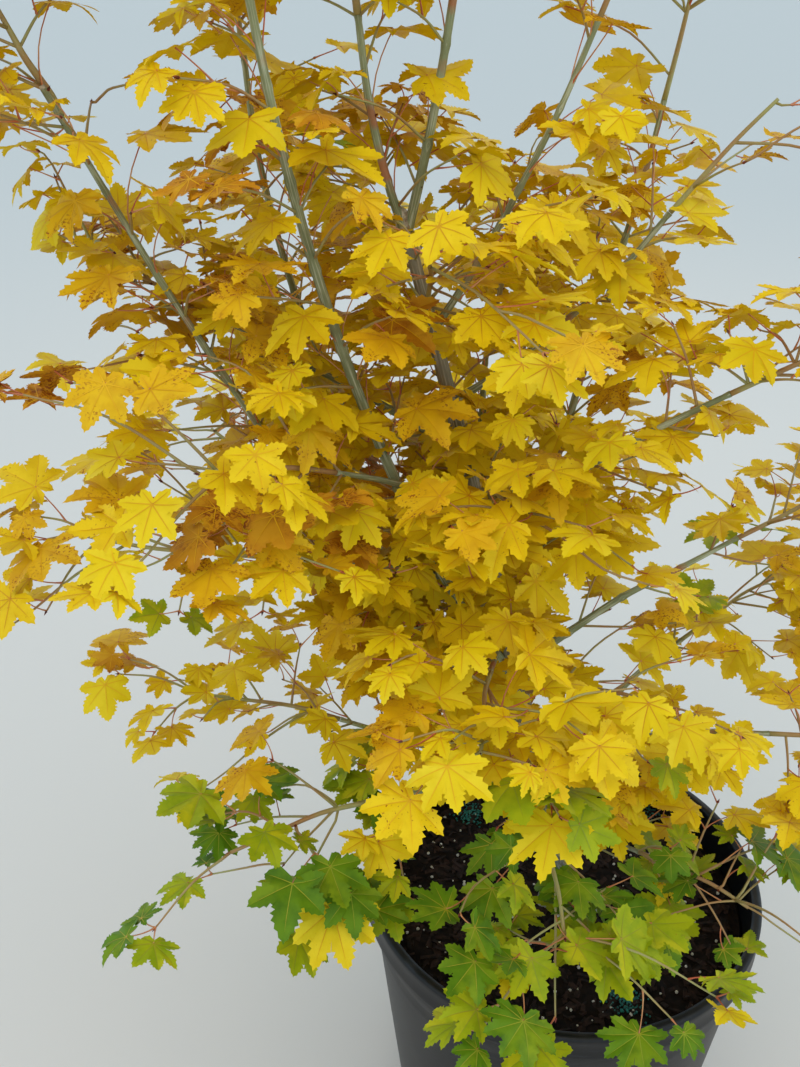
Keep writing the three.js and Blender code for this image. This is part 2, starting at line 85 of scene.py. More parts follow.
class Seeded:
    """A repeatable stream of numbers from 0 to 1, the same as the source's."""

    FACTOR, STEP, RANGE = 1664525, 1013904223, 2**32

    def __init__(self, seed: int) -> None:
        """Starts the stream that belongs to a seed."""
        self.state = (seed * 7919 + 17) % self.RANGE

    def draw(self) -> float:
        """Returns the next number, from 0 to 1."""
        self.state = (self.state * self.FACTOR + self.STEP) % self.RANGE
        return self.state / self.RANGE

    def between(self, low: float, high: float) -> float:
        """Returns the next number, spread from low to high."""
        return low + (high - low) * self.draw()


def lerp(low: float, high: float, share: float) -> float:
    """Returns the value at a share of the way from low to high."""
    return low + (high - low) * share


def unit(vector: Point) -> Point:
    """Returns a vector of length 1 in the same direction."""
    return vector / np.linalg.norm(vector)


def heading(azimuth: float, lean: float) -> Point:
    """Returns the unit vector of an azimuth and a lean from upright, both in degrees."""
    turn, tilt = math.radians(azimuth), math.radians(lean)
    return np.array([math.sin(tilt) * math.cos(turn), math.sin(tilt) * math.sin(turn), math.cos(tilt)])


def levelled(way: Point) -> Point:
    """Returns the level unit vector below a direction."""
    return unit(np.array([way[0], way[1], 0.0]))


def turned(vector: Point, axis: Point, angle: float) -> Point:
    """Turns a vector about a unit axis.

    Args:
        vector: what is turned.
        axis: the unit axis.
        angle: radians.

    Returns:
        The turned vector.
    """
    c, s = math.cos(angle), math.sin(angle)
    return vector * c + np.cross(axis, vector) * s + axis * float(axis @ vector) * (1 - c)


STEEP = 0.98  # the rise of a direction that is taken as upright


def crossways(along: Point) -> tuple[Point, Point]:
    """Returns two unit vectors square to each other and to a direction, the first of them level."""
    side = unit(np.cross(along, np.array([1.0, 0.0, 0.0]) if abs(along[2]) > STEEP else UP))
    return side, unit(np.cross(side, along))


def length_of(path: Path) -> float:
    """Returns the length of a path."""
    return float(sum(np.linalg.norm(b - a) for a, b in zip(path, path[1:])))


def point_on(path: Path, share: float) -> Point:
    """Finds a point on a path.

    Args:
        path: its nodes.
        share: how far along the nodes, from 0 to 1.

    Returns:
        The point.
    """
    place = min(max(share, 0.0), 1.0) * (len(path) - 1)
    i = min(int(place), len(path) - 2)
    return path[i] + (path[i + 1] - path[i]) * (place - i)


def direction_on(path: Path, share: float) -> Point:
    """Returns the unit direction of a path at a share of its nodes."""
    i = min(int(share * (len(path) - 1)), len(path) - 2)
    return unit(path[i + 1] - path[i])


PATH_STEP = 80.0  # between two nodes of a limb
ZIGZAG = 3.0  # degrees that a limb turns to and fro at its nodes


def limb_path(start: Point, azimuth: float, turn: float, lean: Sequence[float], length: float) -> Path:
    """Returns the nodes of a limb that bends evenly, with a slight zigzag.

    Args:
        start: its first node.
        azimuth: its first azimuth, in degrees.
        turn: what is added to the azimuth by its end.
        lean: its first and last lean from upright, in degrees.
        length: in millimetres.

    Returns:
        The nodes, evenly spaced.
    """
    steps = max(3, math.floor(length / PATH_STEP + 0.5))
    points = [np.array(start, float)]
    for i in range(steps):
        share = (i + 0.5) / steps
        swing = ZIGZAG if i % 2 else -ZIGZAG
        way = heading(azimuth + turn * share + swing, lerp(lean[0], lean[1], share))
        points.append(points[-1] + way * (length / steps))
    return points


def smoothed(path: Path, pieces: int) -> Array:
    """Bends a smooth curve through the nodes of a path.

    Args:
        path: its nodes.
        pieces: how many pieces the curve has between two nodes.

    Returns:
        The curve's points, one row each.
    """
    nodes = [2 * path[0] - path[1], *path, 2 * path[-1] - path[-2]]
    curve = []
    for a, b, c, d in zip(nodes, nodes[1:], nodes[2:], nodes[3:]):
        for t in np.arange(pieces) / pieces:
            bend = (2 * a - 5 * b + 4 * c - d) * t * t + (3 * b - a - 3 * c + d) * t**3
            curve.append(0.5 * (2 * b + (c - a) * t + bend))
    return np.array([*curve, path[-1]])


# Finishes


def linear(code: str) -> tuple[float, float, float, float]:
    """Turns an sRGB hex value into a linear colour.

    Args:
        code: such as "#E3B410".

    Returns:
        Red, green, blue and alpha, from 0 to 1.
    """
    parts = [int(code[i : i + 2], 16) / 255 for i in (1, 3, 5)]
    red, green, blue = (p / 12.92 if p <= 0.04045 else ((p + 0.055) / 1.055) ** 2.4 for p in parts)
    return red, green, blue, 1.0


def per_metre(size_mm: float) -> float:
    """Returns the pattern scale whose features are so many millimetres across."""
    return 1000.0 / size_mm


def plug(tree: Tree, node: bpy.types.Node, inputs: Inputs) -> None:
    """Sets or links the inputs of a node.

    Args:
        tree: the material's node tree.
        node: the node.
        inputs: socket name or number to a value, a hex colour, or the socket that feeds it.
    """
    for name, source in inputs.items():
        if isinstance(source, Socket):
            tree.links.new(source, node.inputs[name])
        else:
            node.inputs[name].default_value = linear(source) if isinstance(source, str) else source


def add_node(tree: Tree, kind: str, inputs: Inputs | None = None, **settings: object) -> bpy.types.Node:
    """Adds a node with its settings and links.

    Args:
        tree: the material's node tree.
        kind: the node's type.
        inputs: what plug sets or links.
        settings: the node's own properties.

    Returns:
        The node.
    """
    made = tree.nodes.new(kind)
    for name, value in settings.items():
        setattr(made, name, value)
    plug(tree, made, inputs or {})
    return made


@dataclass(frozen=True)
class Finish:
    """What every finish shares: a name, the shader's plain values and the depth of its relief."""

    name: str
    roughness: float
    ior: float = 1.5
    specular: float = 0.5
    relief: Pair = (0.2, 0.2)  # its strength, and its depth in millimetres

    def material(self) -> bpy.types.Material:
        """Makes the finish's material, once.

        Returns:
            The material.
        """
        if self.name in bpy.data.materials:
            return bpy.data.materials[self.name]
        made = bpy.data.materials.new(self.name)
        made.use_nodes = True
        tree = made.node_tree
        colour, height = self.paint(tree)
        inputs = {"Base Color": colour, "Roughness": self.roughness, "IOR": self.ior}
        inputs["Specular IOR Level"] = self.specular
        if height is not None:
            bump = {"Height": height, "Strength": self.relief[0], "Distance": self.relief[1] * MM}
            inputs["Normal"] = add_node(tree, "ShaderNodeBump", bump).outputs["Normal"]
        plug(tree, tree.nodes["Principled BSDF"], inputs)
        return made

    def paint(self, tree: Tree) -> tuple[Socket | str, Socket | None]:
        """Adds the nodes of the finish, which each does in its own way.

        Args:
            tree: the material's node tree.

        Returns:
            The colour, and the pattern that the relief follows.
        """
        raise NotImplementedError


def blotches(tree: Tree, place: Socket, size: float, low: float, high: float, detail: float) -> Socket:
    """Adds a soft mask of blotches.

    Args:
        tree: the material's node tree.
        place: the coordinates, in metres.
        size: how wide a blotch is, in millimetres.
        low: the noise value where the mask starts.
        high: the noise value where it is full.
        detail: octaves of finer noise.

    Returns:
        The mask, from 0 to 1.
    """
    inputs = {"Vector": place, "Scale": per_metre(size), "Detail": detail, "Roughness": 0.55}
    mottle = add_node(tree, "ShaderNodeTexNoise", inputs).outputs["Fac"]
    ranged = {"Value": mottle, "From Min": low, "From Max": high}
    return add_node(tree, "ShaderNodeMapRange", ranged).outputs["Result"]


MIX_FACTOR, MIX_A, MIX_B, MIX_RESULT = 0, 6, 7, 2  # sockets of a colour Mix node


def coated(tree: Tree, ground: Socket | str, *coats: tuple[Socket, Socket | str]) -> Socket:
    """Lays coats of colour over a ground, one after the other.

    Args:
        tree: the material's node tree.
        ground: the lowest colour, as a hex value or a socket.
        coats: each coat's mask and its colour.

    Returns:
        The colour of them all.
    """
    for mask, colour in coats:
        inputs = {MIX_FACTOR: mask, MIX_A: ground, MIX_B: colour}
        ground = add_node(tree, "ShaderNodeMix", inputs, data_type="RGBA").outputs[MIX_RESULT]
    return ground


@dataclass(frozen=True)
class MouldedPolyethylene(Finish):
    """Black polyethylene, blow moulded: a satin skin with grey scuffs and a little dust."""

    relief: Pair = (0.25, 0.4)
    skin: str = "#0A0B0D"
    scuff: str = "#24272C"
    dust: str = "#302B26"
    grain: float = 1.4  # millimetres; finer on a real pot, and drawn as coarse as it needs to show

    def paint(self, tree: Tree) -> tuple[Socket, Socket]:
        """Paints the skin, its level scuffs and the dust that rain splashes on it.

        Args:
            tree: the material's node tree.

        Returns:
            The colour, and the grain of the mould.
        """
        place = add_node(tree, "ShaderNodeTexCoord").outputs["Object"]
        level = add_node(tree, "ShaderNodeMapping", {"Vector": place, "Scale": (1, 1, 7)}).outputs["Vector"]
        scuffs = blotches(tree, level, 26, 0.56, 0.74, 6)
        splash = blotches(tree, place, 60, 0.52, 0.95, 5)
        fine = {"Vector": place, "Scale": per_metre(self.grain), "Detail": 2.0}
        grain = add_node(tree, "ShaderNodeTexNoise", fine).outputs["Fac"]
        return coated(tree, self.skin, (scuffs, self.scuff), (splash, self.dust)), grain


@dataclass(frozen=True)
class MapleBark(Finish):
    """Living maple bark: a smooth green-grey skin with fine pale stripes along the limb."""

    relief: Pair = (0.5, 0.5)
    skin: str = "#959B72"
    shade: str = "#7A8058"
    stripe: str = "#B9BC9C"
    blush: str = "#B07850"
    stripe_width: float = 1.7  # millimetres
    stripe_length: float = 46.0
    pale_foot: str = "#A19E90"
    foot_height: float = 0.46  # metres; below it the bark is old and pale

    def paint(self, tree: Tree) -> tuple[Socket, Socket]:
        """Paints the stripes by the limb's own coordinates, and the old bark by height.

        Args:
            tree: the material's node tree.

        Returns:
            The colour, and the streaks.
        """
        coords = add_node(tree, "ShaderNodeTexCoord").outputs
        place = coords["Object"]
        scale = (per_metre(self.stripe_width), per_metre(self.stripe_length), 1)
        along = add_node(tree, "ShaderNodeMapping", {"Vector": coords["UV"], "Scale": scale})
        drawn_out = {"Vector": along.outputs["Vector"], "Scale": 1.0, "Detail": 3.0}
        streaks = add_node(tree, "ShaderNodeTexNoise", drawn_out).outputs["Fac"]
        ranged = {"Value": streaks, "From Min": 0.5, "From Max": 0.64}
        stripes = add_node(tree, "ShaderNodeMapRange", ranged).outputs["Result"]
        patches = blotches(tree, place, 34, 0.38, 0.66, 4)
        warm = blotches(tree, place, 46, 0.58, 0.7, 3)
        young = coated(tree, self.skin, (patches, self.shade), (stripes, self.stripe), (warm, self.blush))
        old = coated(tree, self.pale_foot, (blotches(tree, place, 5, 0.45, 0.6, 5), self.shade))
        height = add_node(tree, "ShaderNodeSeparateXYZ", {0: place}).outputs["Z"]
        foot = {"Value": height, "From Min": self.foot_height + 0.09, "From Max": self.foot_height - 0.03}
        age = add_node(tree, "ShaderNodeMapRange", foot).outputs["Result"]
        return coated(tree, young, (age, old)), streaks


@dataclass(frozen=True, kw_only=True)
class PlantSkin(Finish):
    """Smooth young growth, such as twigs, stalks and buds: one tone that drifts to another."""

    tone: str
    drift: str
    drift_size: float  # millimetres
    rib: float = 1.5  # millimetres; finer on a real twig, and drawn as coarse as it needs to show

    def paint(self, tree: Tree) -> tuple[Socket, Socket]:
        """Paints the drift between the two tones.

        Args:
            tree: the material's node tree.

        Returns:
            The colour, and the fine ribs.
        """
        place = add_node(tree, "ShaderNodeTexCoord").outputs["Object"]
        mask = blotches(tree, place, self.drift_size, 0.4, 0.62, 3)
        fine = {"Vector": place, "Scale": per_metre(self.rib), "Detail": 2.0}
        ribs = add_node(tree, "ShaderNodeTexNoise", fine).outputs["Fac"]
        return coated(tree, self.tone, (mask, self.drift)), ribs


@dataclass(frozen=True, kw_only=True)
class AutumnBlade(Finish):
    """A maple leaf in autumn: a waxy skin whose bright base colour is painted glow, standing in for light
    shining through the leaf, drifting within the leaf.
    """

    specular: float = 0.2
    relief: Pair = (0.2, 0.3)
    tint: str
    deep: str
    pale: str
    speckle: str = "#A25A14"
    speckled: float  # noise value above which a speckle shows; lower shows more
    vein_gap: float = 3.5  # millimetres; half as wide in a real leaf, where it wouldn't show

    def paint(self, tree: Tree) -> tuple[Socket, Socket]:
        """Paints the drift of the tint, a tone for each leaf and brown speckles.

        Args:
            tree: the material's node tree.

        Returns:
            The colour, and a net of veins.
        """
        place = add_node(tree, "ShaderNodeTexCoord").outputs["Object"]
        each = add_node(tree, "ShaderNodeNewGeometry").outputs["Random Per Island"]
        spread = {"Value": each, "From Min": 0.45, "From Max": 1.0, "To Max": 0.85}
        paler = add_node(tree, "ShaderNodeMapRange", spread).outputs["Result"]
        drift = blotches(tree, place, 22, 0.42, 0.72, 3)
        dots = blotches(tree, place, 2.8, self.speckled, self.speckled + 0.09, 2)
        patch = blotches(tree, place, 30, 0.46, 0.62, 1)
        both = add_node(tree, "ShaderNodeMath", {0: dots, 1: patch}, operation="MULTIPLY").outputs[0]
        colour = coated(tree, self.tint, (paler, self.pale), (drift, self.deep), (both, self.speckle))
        net = {"Vector": place, "Scale": per_metre(self.vein_gap)}
        veins = add_node(tree, "ShaderNodeTexVoronoi", net, feature="DISTANCE_TO_EDGE")
        return colour, veins.outputs["Distance"]


@dataclass(frozen=True)
class GroundStuff(Finish):
    """Loose matter in the pot, such as composted bark, perlite or granules: dull and broken up."""

    relief: Pair = (0.6, 0.8)
    tone: str = "#1E140E"
    other: str = "#0C0806"
    lump: float = 7.0  # millimetres
    grit: float = 1.2

    def paint(self, tree: Tree) -> tuple[Socket, Socket]:
        """Paints lumps of two tones.

        Args:
            tree: the material's node tree.

        Returns:
            The colour, and the grit.
        """
        place = add_node(tree, "ShaderNodeTexCoord").outputs["Object"]
        mask = blotches(tree, place, self.lump, 0.4, 0.6, 5)
        fine = {"Vector": place, "Scale": per_metre(self.grit), "Detail": 4.0}
        grit = add_node(tree, "ShaderNodeTexNoise", fine).outputs["Fac"]
        return coated(tree, self.tone, (mask, self.other)), grit


class Tint(Enum):
    """The autumn tints. Each spray takes one, as a plain base colour on a matt, waxy blade."""

    # the yellow tints are pushed bright: painted glow, for the light that a real leaf lets through
    GOLD = AutumnBlade(
        "gold_maple_blade", 0.58, tint="#EFCC0A", deep="#E2BC07", pale="#F1D01C", speckled=0.64
    )
    LEMON = AutumnBlade(
        "lemon_maple_blade", 0.58, tint="#EDCF0E", deep="#E4C60A", pale="#F0D62A", speckled=0.7
    )
    AMBER = AutumnBlade(
        "amber_maple_blade", 0.6, tint="#E6B60C", deep="#D5A10C", pale="#EBC31A",
        speckle="#A05A18", speckled=0.54,
    )
    LIME = AutumnBlade(
        "lime_maple_blade", 0.56, tint="#A4AF0E", deep="#829A0E", pale="#CAC316", speckled=0.72
    )
    GREEN = AutumnBlade(
        "green_maple_blade", 0.54, tint="#64890E", deep="#4A700C", pale="#8D9F14", speckled=0.74
    )
    RUSSET = AutumnBlade(
        "russet_maple_blade", 0.66, tint="#D09316", deep="#BC7912", pale="#DFAE24",
        speckle="#944E12", speckled=0.48,
    )


# Living bark has a soft sheen and green in it. Where it is old it is grey, dry and duller.
BARK = MapleBark("living_maple_bark", 0.62, specular=0.35)
OLD_BARK = MapleBark(
    "weathered_maple_bark", 0.7, specular=0.3, skin="#9B957E", shade="#7E7963", stripe="#B9B39C"
)
# Young growth is waxy: it shines a little, and flushes red towards the light.
TWIG_SKIN = PlantSkin(
    "young_twig_skin", 0.5, specular=0.4, tone="#A6A265", drift="#AB8150", drift_size=60
)
STALK_SKIN = PlantSkin(
    "coral_leaf_stalk", 0.45, specular=0.4, tone="#DC9E68", drift="#C96442", drift_size=45
)
BUD_SCALE = PlantSkin("bud_scale", 0.5, specular=0.4, tone="#7A2F22", drift="#4C241A", drift_size=6)
# Ribs are a little paler or browner than their blade, so that each lobe shows its line.
GOLD_RIB = PlantSkin(
    "amber_leaf_rib", 0.5, specular=0.2, tone="#EAB81A", drift="#D69C18", drift_size=70
)
GREEN_RIB = PlantSkin(
    "pale_green_leaf_rib", 0.5, specular=0.2, tone="#93A22C", drift="#A9A02C", drift_size=70
)
# Sawn or broken wood, left to the weather, is dull and pale with dark checks.
CUT_WOOD = PlantSkin(
    "weathered_cut_wood", 0.8, specular=0.25, tone="#C9BFA6", drift="#8C7D66", drift_size=7
)
# The pot is satin, so its rim catches a broad soft light. What lies in it is matt, but for coated feed.
POT_PLASTIC = MouldedPolyethylene("moulded_black_polyethylene", 0.42, ior=1.51, specular=0.35)
COMPOST = GroundStuff("composted_bark_bed", 0.95, specular=0.2)
BARK_CHIP = GroundStuff(
    "shredded_bark_chip", 0.85, specular=0.25, tone="#33211A", other="#140D09", lump=9
)
PERLITE = GroundStuff("expanded_perlite", 0.9, specular=0.3, tone="#E6E3DA", other="#BDB8AB", lump=2)
FEED = GroundStuff("coated_feed_granule", 0.35, specular=0.5, tone="#1F7F74", other="#155A56", lump=3)


# Meshes


def mesh_object(
    name: str, points: Array, faces: Array, uvs: Array | None = None
) -> bpy.types.Object:
    """Makes a mesh object from triangles.

    Args:
        name: the piece's name.
        points: its points, one row each, in millimetres.
        faces: three point numbers a row.
        uvs: a coordinate for each point, in metres, or None.

    Returns:
        The object, linked to the scene.
    """
    mesh = bpy.data.meshes.new(name)
    mesh.vertices.add(len(points))
    mesh.vertices.foreach_set("co", (points * MM).astype(np.float32).ravel())
    mesh.loops.add(faces.size)
    mesh.loops.foreach_set("vertex_index", faces.astype(np.int32).ravel())
    mesh.polygons.add(len(faces))
    mesh.polygons.foreach_set("loop_start", np.arange(0, faces.size, 3, dtype=np.int32))
    mesh.update(calc_edges=True)
    mesh.validate()
    if uvs is not None:
        layer = mesh.uv_layers.new(name="limb")
        layer.data.foreach_set("uv", uvs[faces.ravel()].astype(np.float32).ravel())
    made = bpy.data.objects.new(name, mesh)
    bpy.context.scene.collection.objects.link(made)
    return made


def crease(piece: bpy.types.Object, ribs: Array) -> None:
    """Marks an edge sharp where both its points lie on a rib.

    Args:
        piece: a mesh object.
        ribs: for each point, whether it lies on a rib.
    """
    mesh = piece.data
    pairs = np.zeros(len(mesh.edges) * 2, np.int32)
    mesh.edges.foreach_get("vertices", pairs)
    on_rib = ribs[pairs.reshape(-1, 2)].all(axis=1)
    mesh.attributes.new("sharp_edge", "BOOLEAN", "EDGE").data.foreach_set("value", on_rib)


def dress(
    piece: bpy.types.Object, finish: Finish, stands_for: Sequence[str], smooth: bool = True
) -> None:
    """Gives a piece its finish and body, and hides what it stands for.

    Args:
        piece: a mesh object in its place.
        finish: its finish.
        stands_for: the solids' nodes that it replaces.
        smooth: whether its faces are shaded smooth.
    """
    piece.data.materials.append(finish.material())
    piece.data.polygons.foreach_set("use_smooth", np.full(len(piece.data.polygons), smooth))
    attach(piece, BODY)
    if stands_for:
        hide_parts(*stands_for)
    LOG.info("%s: %d faces", piece.name, len(piece.data.polygons))


@dataclass
class Sheaf:
    """Small meshes of one kind, gathered so that they become one joined piece."""

    name: str
    points: list[Array] = field(default_factory=list)
    faces: list[Array] = field(default_factory=list)
    ribs: list[Array] = field(default_factory=list)
    count: int = 0

    def add(self, points: Array, faces: Array, ribs: Array | None = None) -> None:
        """Adds one small mesh.

        Args:
            points: its points, in millimetres.
            faces: three point numbers a row, counted from its own first point.
            ribs: for each point, whether it lies on a rib, or None.
        """
        self.points.append(points)
        self.faces.append(faces + self.count)
        self.ribs.append(np.zeros(len(points), bool) if ribs is None else ribs)
        self.count += len(points)

    def piece(self, finish: Finish, slot: str, stands_for: Sequence[str], smooth: bool = True) -> None:
        """Joins what was gathered into one dressed piece.

        Args:
            finish: its finish.
            slot: the record's material slot; not used.
            stands_for: the solids' nodes that it replaces.
            smooth: whether its faces are shaded smooth.
        """
        if not self.points:
            return
        made = mesh_object(self.name, np.vstack(self.points), np.vstack(self.faces))
        crease(made, np.concatenate(self.ribs))
        dress(made, finish, stands_for, smooth)


def ring_faces(rings: int, sides: int, cap_start: bool, cap_end: bool) -> Array:
    """Joins the rings of a tube.

    Args:
        rings: how many there are.
        sides: how many points each has.
        cap_start: whether a centre point, which follows the rings, closes the first one.
        cap_end: whether a further centre point closes the last one.

    Returns:
        The triangles, three point numbers a row.
    """
    ring, side = np.meshgrid(np.arange(rings - 1), np.arange(sides), indexing="ij")
    a = (ring * sides + side).ravel()
    b = (ring * sides + (side + 1) % sides).ravel()
    parts = [np.stack([a, b, b + sides], 1), np.stack([a, b + sides, a + sides], 1)]
    around, after = np.arange(sides), (np.arange(sides) + 1) % sides
    centre = rings * sides
    if cap_start:
        parts.append(np.stack([np.full(sides, centre), after, around], 1))
        centre += 1
    if cap_end:
        last = (rings - 1) * sides
        parts.append(np.stack([np.full(sides, centre), last + around, last + after], 1))
    return np.vstack(parts)


@dataclass(frozen=True)
class Tube:
    """A tube along a curve, with a radius for each place on its skin."""

    curve: Array
    sides: int
    radius_at: Callable[[float, Array], Array]  # by distance along it and angle round it

    def shape(self) -> tuple[Array, Array, Array]:
        """Works out the tube, closed at both ends.

        Returns:
            Its points, its faces, and its coordinates: round it and along it, in metres.
        """
        steps = np.diff(self.curve, axis=0)
        far = np.concatenate([[0], np.cumsum(np.linalg.norm(steps, axis=1))])
        angles = np.arange(self.sides) / self.sides * 2 * math.pi
        normal = crossways(unit(steps[0]))[0]
        rings, coordinates = [], []
        for i, point in enumerate(self.curve):
            along = unit(self.curve[min(i + 1, len(steps))] - self.curve[max(i - 1, 0)])
            normal = unit(normal - along * float(normal @ along))
            across = np.cross(along, normal)
            radius = self.radius_at(far[i], angles)
            out = np.outer(np.cos(angles), normal) + np.outer(np.sin(angles), across)
            rings.append(point + out * radius[:, None])
            girth = np.abs(angles - math.pi) * float(np.mean(radius))
            coordinates.append(np.stack([girth * MM, np.full(self.sides, far[i] * MM)], 1))
        rings.append(self.curve[[0, -1]])
        coordinates.append(np.array([[0, far[0] * MM], [0, far[-1] * MM]]))
        return np.vstack(rings), ring_faces(len(self.curve), self.sides, True, True), np.vstack(coordinates)


# Limbs


@dataclass(frozen=True)
class LimbSpec:
    """A bough, and the stem of the mass of foliage that carries it on. Millimetres and degrees."""

    name: str
    at: float  # share of the trunk's length where it leaves
    azimuth: float
    turn: float
    lean: Pair
    length: float
    radii: Pair
    spray_length: float
    spray_lean: float


BOUGHS = tuple(LimbSpec(*row) for row in (
    ("front_right_low", 0.12, 318, 6, (56, 84), 130, (4.6, 2.6), 130, 104),
    ("left_low", 0.16, 172, 4, (52, 78), 270, (5.4, 2.8), 170, 88),
    ("back_right_low", 0.19, 44, -8, (54, 76), 270, (5.6, 2.8), 170, 86),
    ("front_left_low", 0.2, 214, -6, (56, 84), 250, (5.4, 2.8), 150, 104),
    ("right_low", 0.25, 348, 6, (60, 88), 270, (5.4, 2.8), 170, 98),
    ("back_left_low", 0.23, 122, 6, (52, 76), 260, (5.4, 2.8), 170, 86),
    ("front_low", 0.24, 266, 8, (60, 98), 130, (4.8, 2.8), 120, 118),
    ("stem_left", 0.27, 186, -5, (39, 26), 758, (7.4, 4.2), 170, 24),
    ("back_low", 0.34, 86, 4, (50, 74), 290, (5.2, 2.8), 170, 82),
    ("stem_front_left", 0.37, 198, -15, (32, 5), 850, (7.8, 4.2), 180, 6),
    ("right_middle", 0.4, 10, 6, (52, 72), 290, (5.2, 2.8), 180, 82),
    ("stem_back_left", 0.42, 140, 9, (59, 3), 720, (6.2, 3.4), 170, 12),
    ("stem_back_right", 0.46, 69, -27, (49, 15), 614, (6, 3.2), 170, 14),
    ("left_middle", 0.5, 206, -20, (50, 88), 270, (5.2, 2.8), 170, 80),
    ("front_middle", 0.44, 252, 10, (52, 84), 140, (4.6, 2.6), 130, 96),
    ("back_left_middle", 0.33, 156, -12, (48, 64), 340, (5.2, 3), 170, 72),
    ("right_upper", 0.58, 322, 22, (34, 58), 320, (5, 2.8), 170, 68),
    ("front_left_upper", 0.62, 218, 4, (48, 68), 220, (4.6, 2.6), 150, 80),
    ("back_upper", 0.66, 84, -6, (46, 58), 230, (4.6, 2.8), 160, 64),
    ("left_upper", 0.71, 186, -8, (54, 62), 270, (4.8, 2.8), 160, 66),
    ("right_high", 0.78, 18, -19, (64, 34), 282, (4.6, 2.8), 150, 44),
    ("stem_right", 0.87, 10, -8, (34, 20), 316, (4.2, 2.8), 170, 14),
    ("fork_right", 0.985, 8, 6, (14, 2), 430, (4.8, 3.4), 190, 4),
    ("fork_left", 0.965, 184, -4, (22, 4), 215, (4.8, 3.6), 160, 6),
))
TRUNK_SPRAYS = tuple(LimbSpec(*row) for row in (
    ("inner_right_low", 0.36, 322, 0, (54, 84), 190, (3.2, 3), 190, 84),
    ("inner_back", 0.5, 92, 0, (54, 70), 190, (3.2, 3), 190, 70),
    ("inner_front", 0.66, 280, 0, (56, 84), 190, (3.2, 3), 190, 84),
    ("inner_front_high", 0.88, 268, 0, (46, 64), 190, (3, 3), 190, 64),
    ("inner_back_high", 0.9, 112, 0, (44, 54), 180, (3, 3), 180, 54),
))
JOINT_GAP = 0.3
UPRIGHT = ("stem_", "fork_")  # the limbs that stand, with long-stalked leaves straight on their nodes
SLIMMED = {  # how much thinner a standing stem grows by its end than the solid's
    "stem_left": 0.34,
    "stem_front_left": 0.2,
    "fork_left": 0.12,
    "fork_right": 0.12,
}
PRUNED = "stem_left"  # its old tip is cut off inside its mass of foliage, and a side shoot carries it on
CUT_AT = 0.55  # of the mass's stem
BARE_SIDE = (-470, 1320)  # to the right of this x and above this z it bears nothing


def swollen(far: float, nodes: Array, height: float, width: float) -> float:
    """Returns how much a limb swells at its nodes, at a distance along it."""
    return height * float(np.exp(-(((nodes - far) / width) ** 2)).sum())


@dataclass
class Trunk:
    """The leaning leader: old pale bark at its flared foot, and a dry stub at its fork."""

    azimuth: float = 155
    lean: Pair = (12, 17.6)
    length: float = 838
    radii: Pair = (15, 6)
    foot_height: float = 356.3
    flare_width: float = 13
    flare_height: float = 34
    flare_roots: int = 5
    flare_depth: float = 0.3
    sides: int = 40
    pieces: int = 24  # rings between two nodes
    sunk: float = 12.0  # how deep the bark starts in the compost
    stub: float = 15.0  # height of the dry knob above the fork
    stub_root: float = 6.0
    path: Path = field(init=False)

    def __post_init__(self) -> None:
        """Works out the nodes."""
        foot = np.array([0, 0, self.foot_height])
        self.path = limb_path(foot, self.azimuth, 0, self.lean, self.length)

    def build(self) -> None:
        """Makes the bark and the dry knob, broken off above the fork, and dresses them."""
        below = self.path[0] - direction_on(self.path, 0) * self.sunk
        curve = smoothed([below, *self.path], self.pieces)
        bark = mesh_object("trunk_bark", *Tube(curve, self.sides, self.bark_radius).shape())
        dress(bark, OLD_BARK, ["trunk"])
        rise = np.linspace(-self.stub_root, self.stub, 12)
        curve = self.path[-1] + rise[:, None] * direction_on(self.path, 1)
        dress(mesh_object("dry_stub", *Tube(curve, 18, self.stub_radius).shape()), CUT_WOOD, [])

    def bark_radius(self, far: float, angles: Array) -> Array:
        """Works out the radius of the bark, with its flared foot, its nodes and its relief.

        Args:
            far: the distance from the curve's start, in millimetres.
            angles: round the trunk, in radians.

        Returns:
            The radius at each angle.
        """
        nodes = np.arange(1, len(self.path)) * self.length / (len(self.path) - 1) + self.sunk
        height = max(far - self.sunk, 0) * math.cos(math.radians(self.lean[0]))
        risen = min(height / (self.path[-1][2] - self.foot_height), 1)
        flare = self.flare_width * math.exp(-2 * height / self.flare_height)
        ridge = 1 + self.flare_depth * np.cos(self.flare_roots * angles)
        old = 0.5 * math.exp(-height / 90)
        grain = [
            noise.fractal(Vector((math.cos(a) * 2.2, math.sin(a) * 2.2, far / 16)), 0.9, 2.1, 4)
            for a in angles
        ]
        ribs = 0.16 * np.cos(angles * 9 + math.sin(far / 60))
        knot = swollen(far, nodes, 0.9, 4.5)
        relief = (0.35 + 1.6 * old) * np.array(grain) + ribs + knot
        return lerp(*self.radii, risen**0.85) + flare * ridge + relief

    def stub_radius(self, far: float, angles: Array) -> Array:
        """Works out the radius of the knob.

        Args:
            far: the distance from the curve's start, in millimetres.
            angles: round the knob, in radians.

        Returns:
            The radius at each angle.
        """
        share = far / (self.stub + self.stub_root)
        rough = [noise.noise(Vector((math.cos(a) * 1.6, math.sin(a) * 1.6, far / 5))) for a in angles]
        return 7.2 * (1 - share**5 * 0.6) * (1 + 0.2 * np.array(rough))


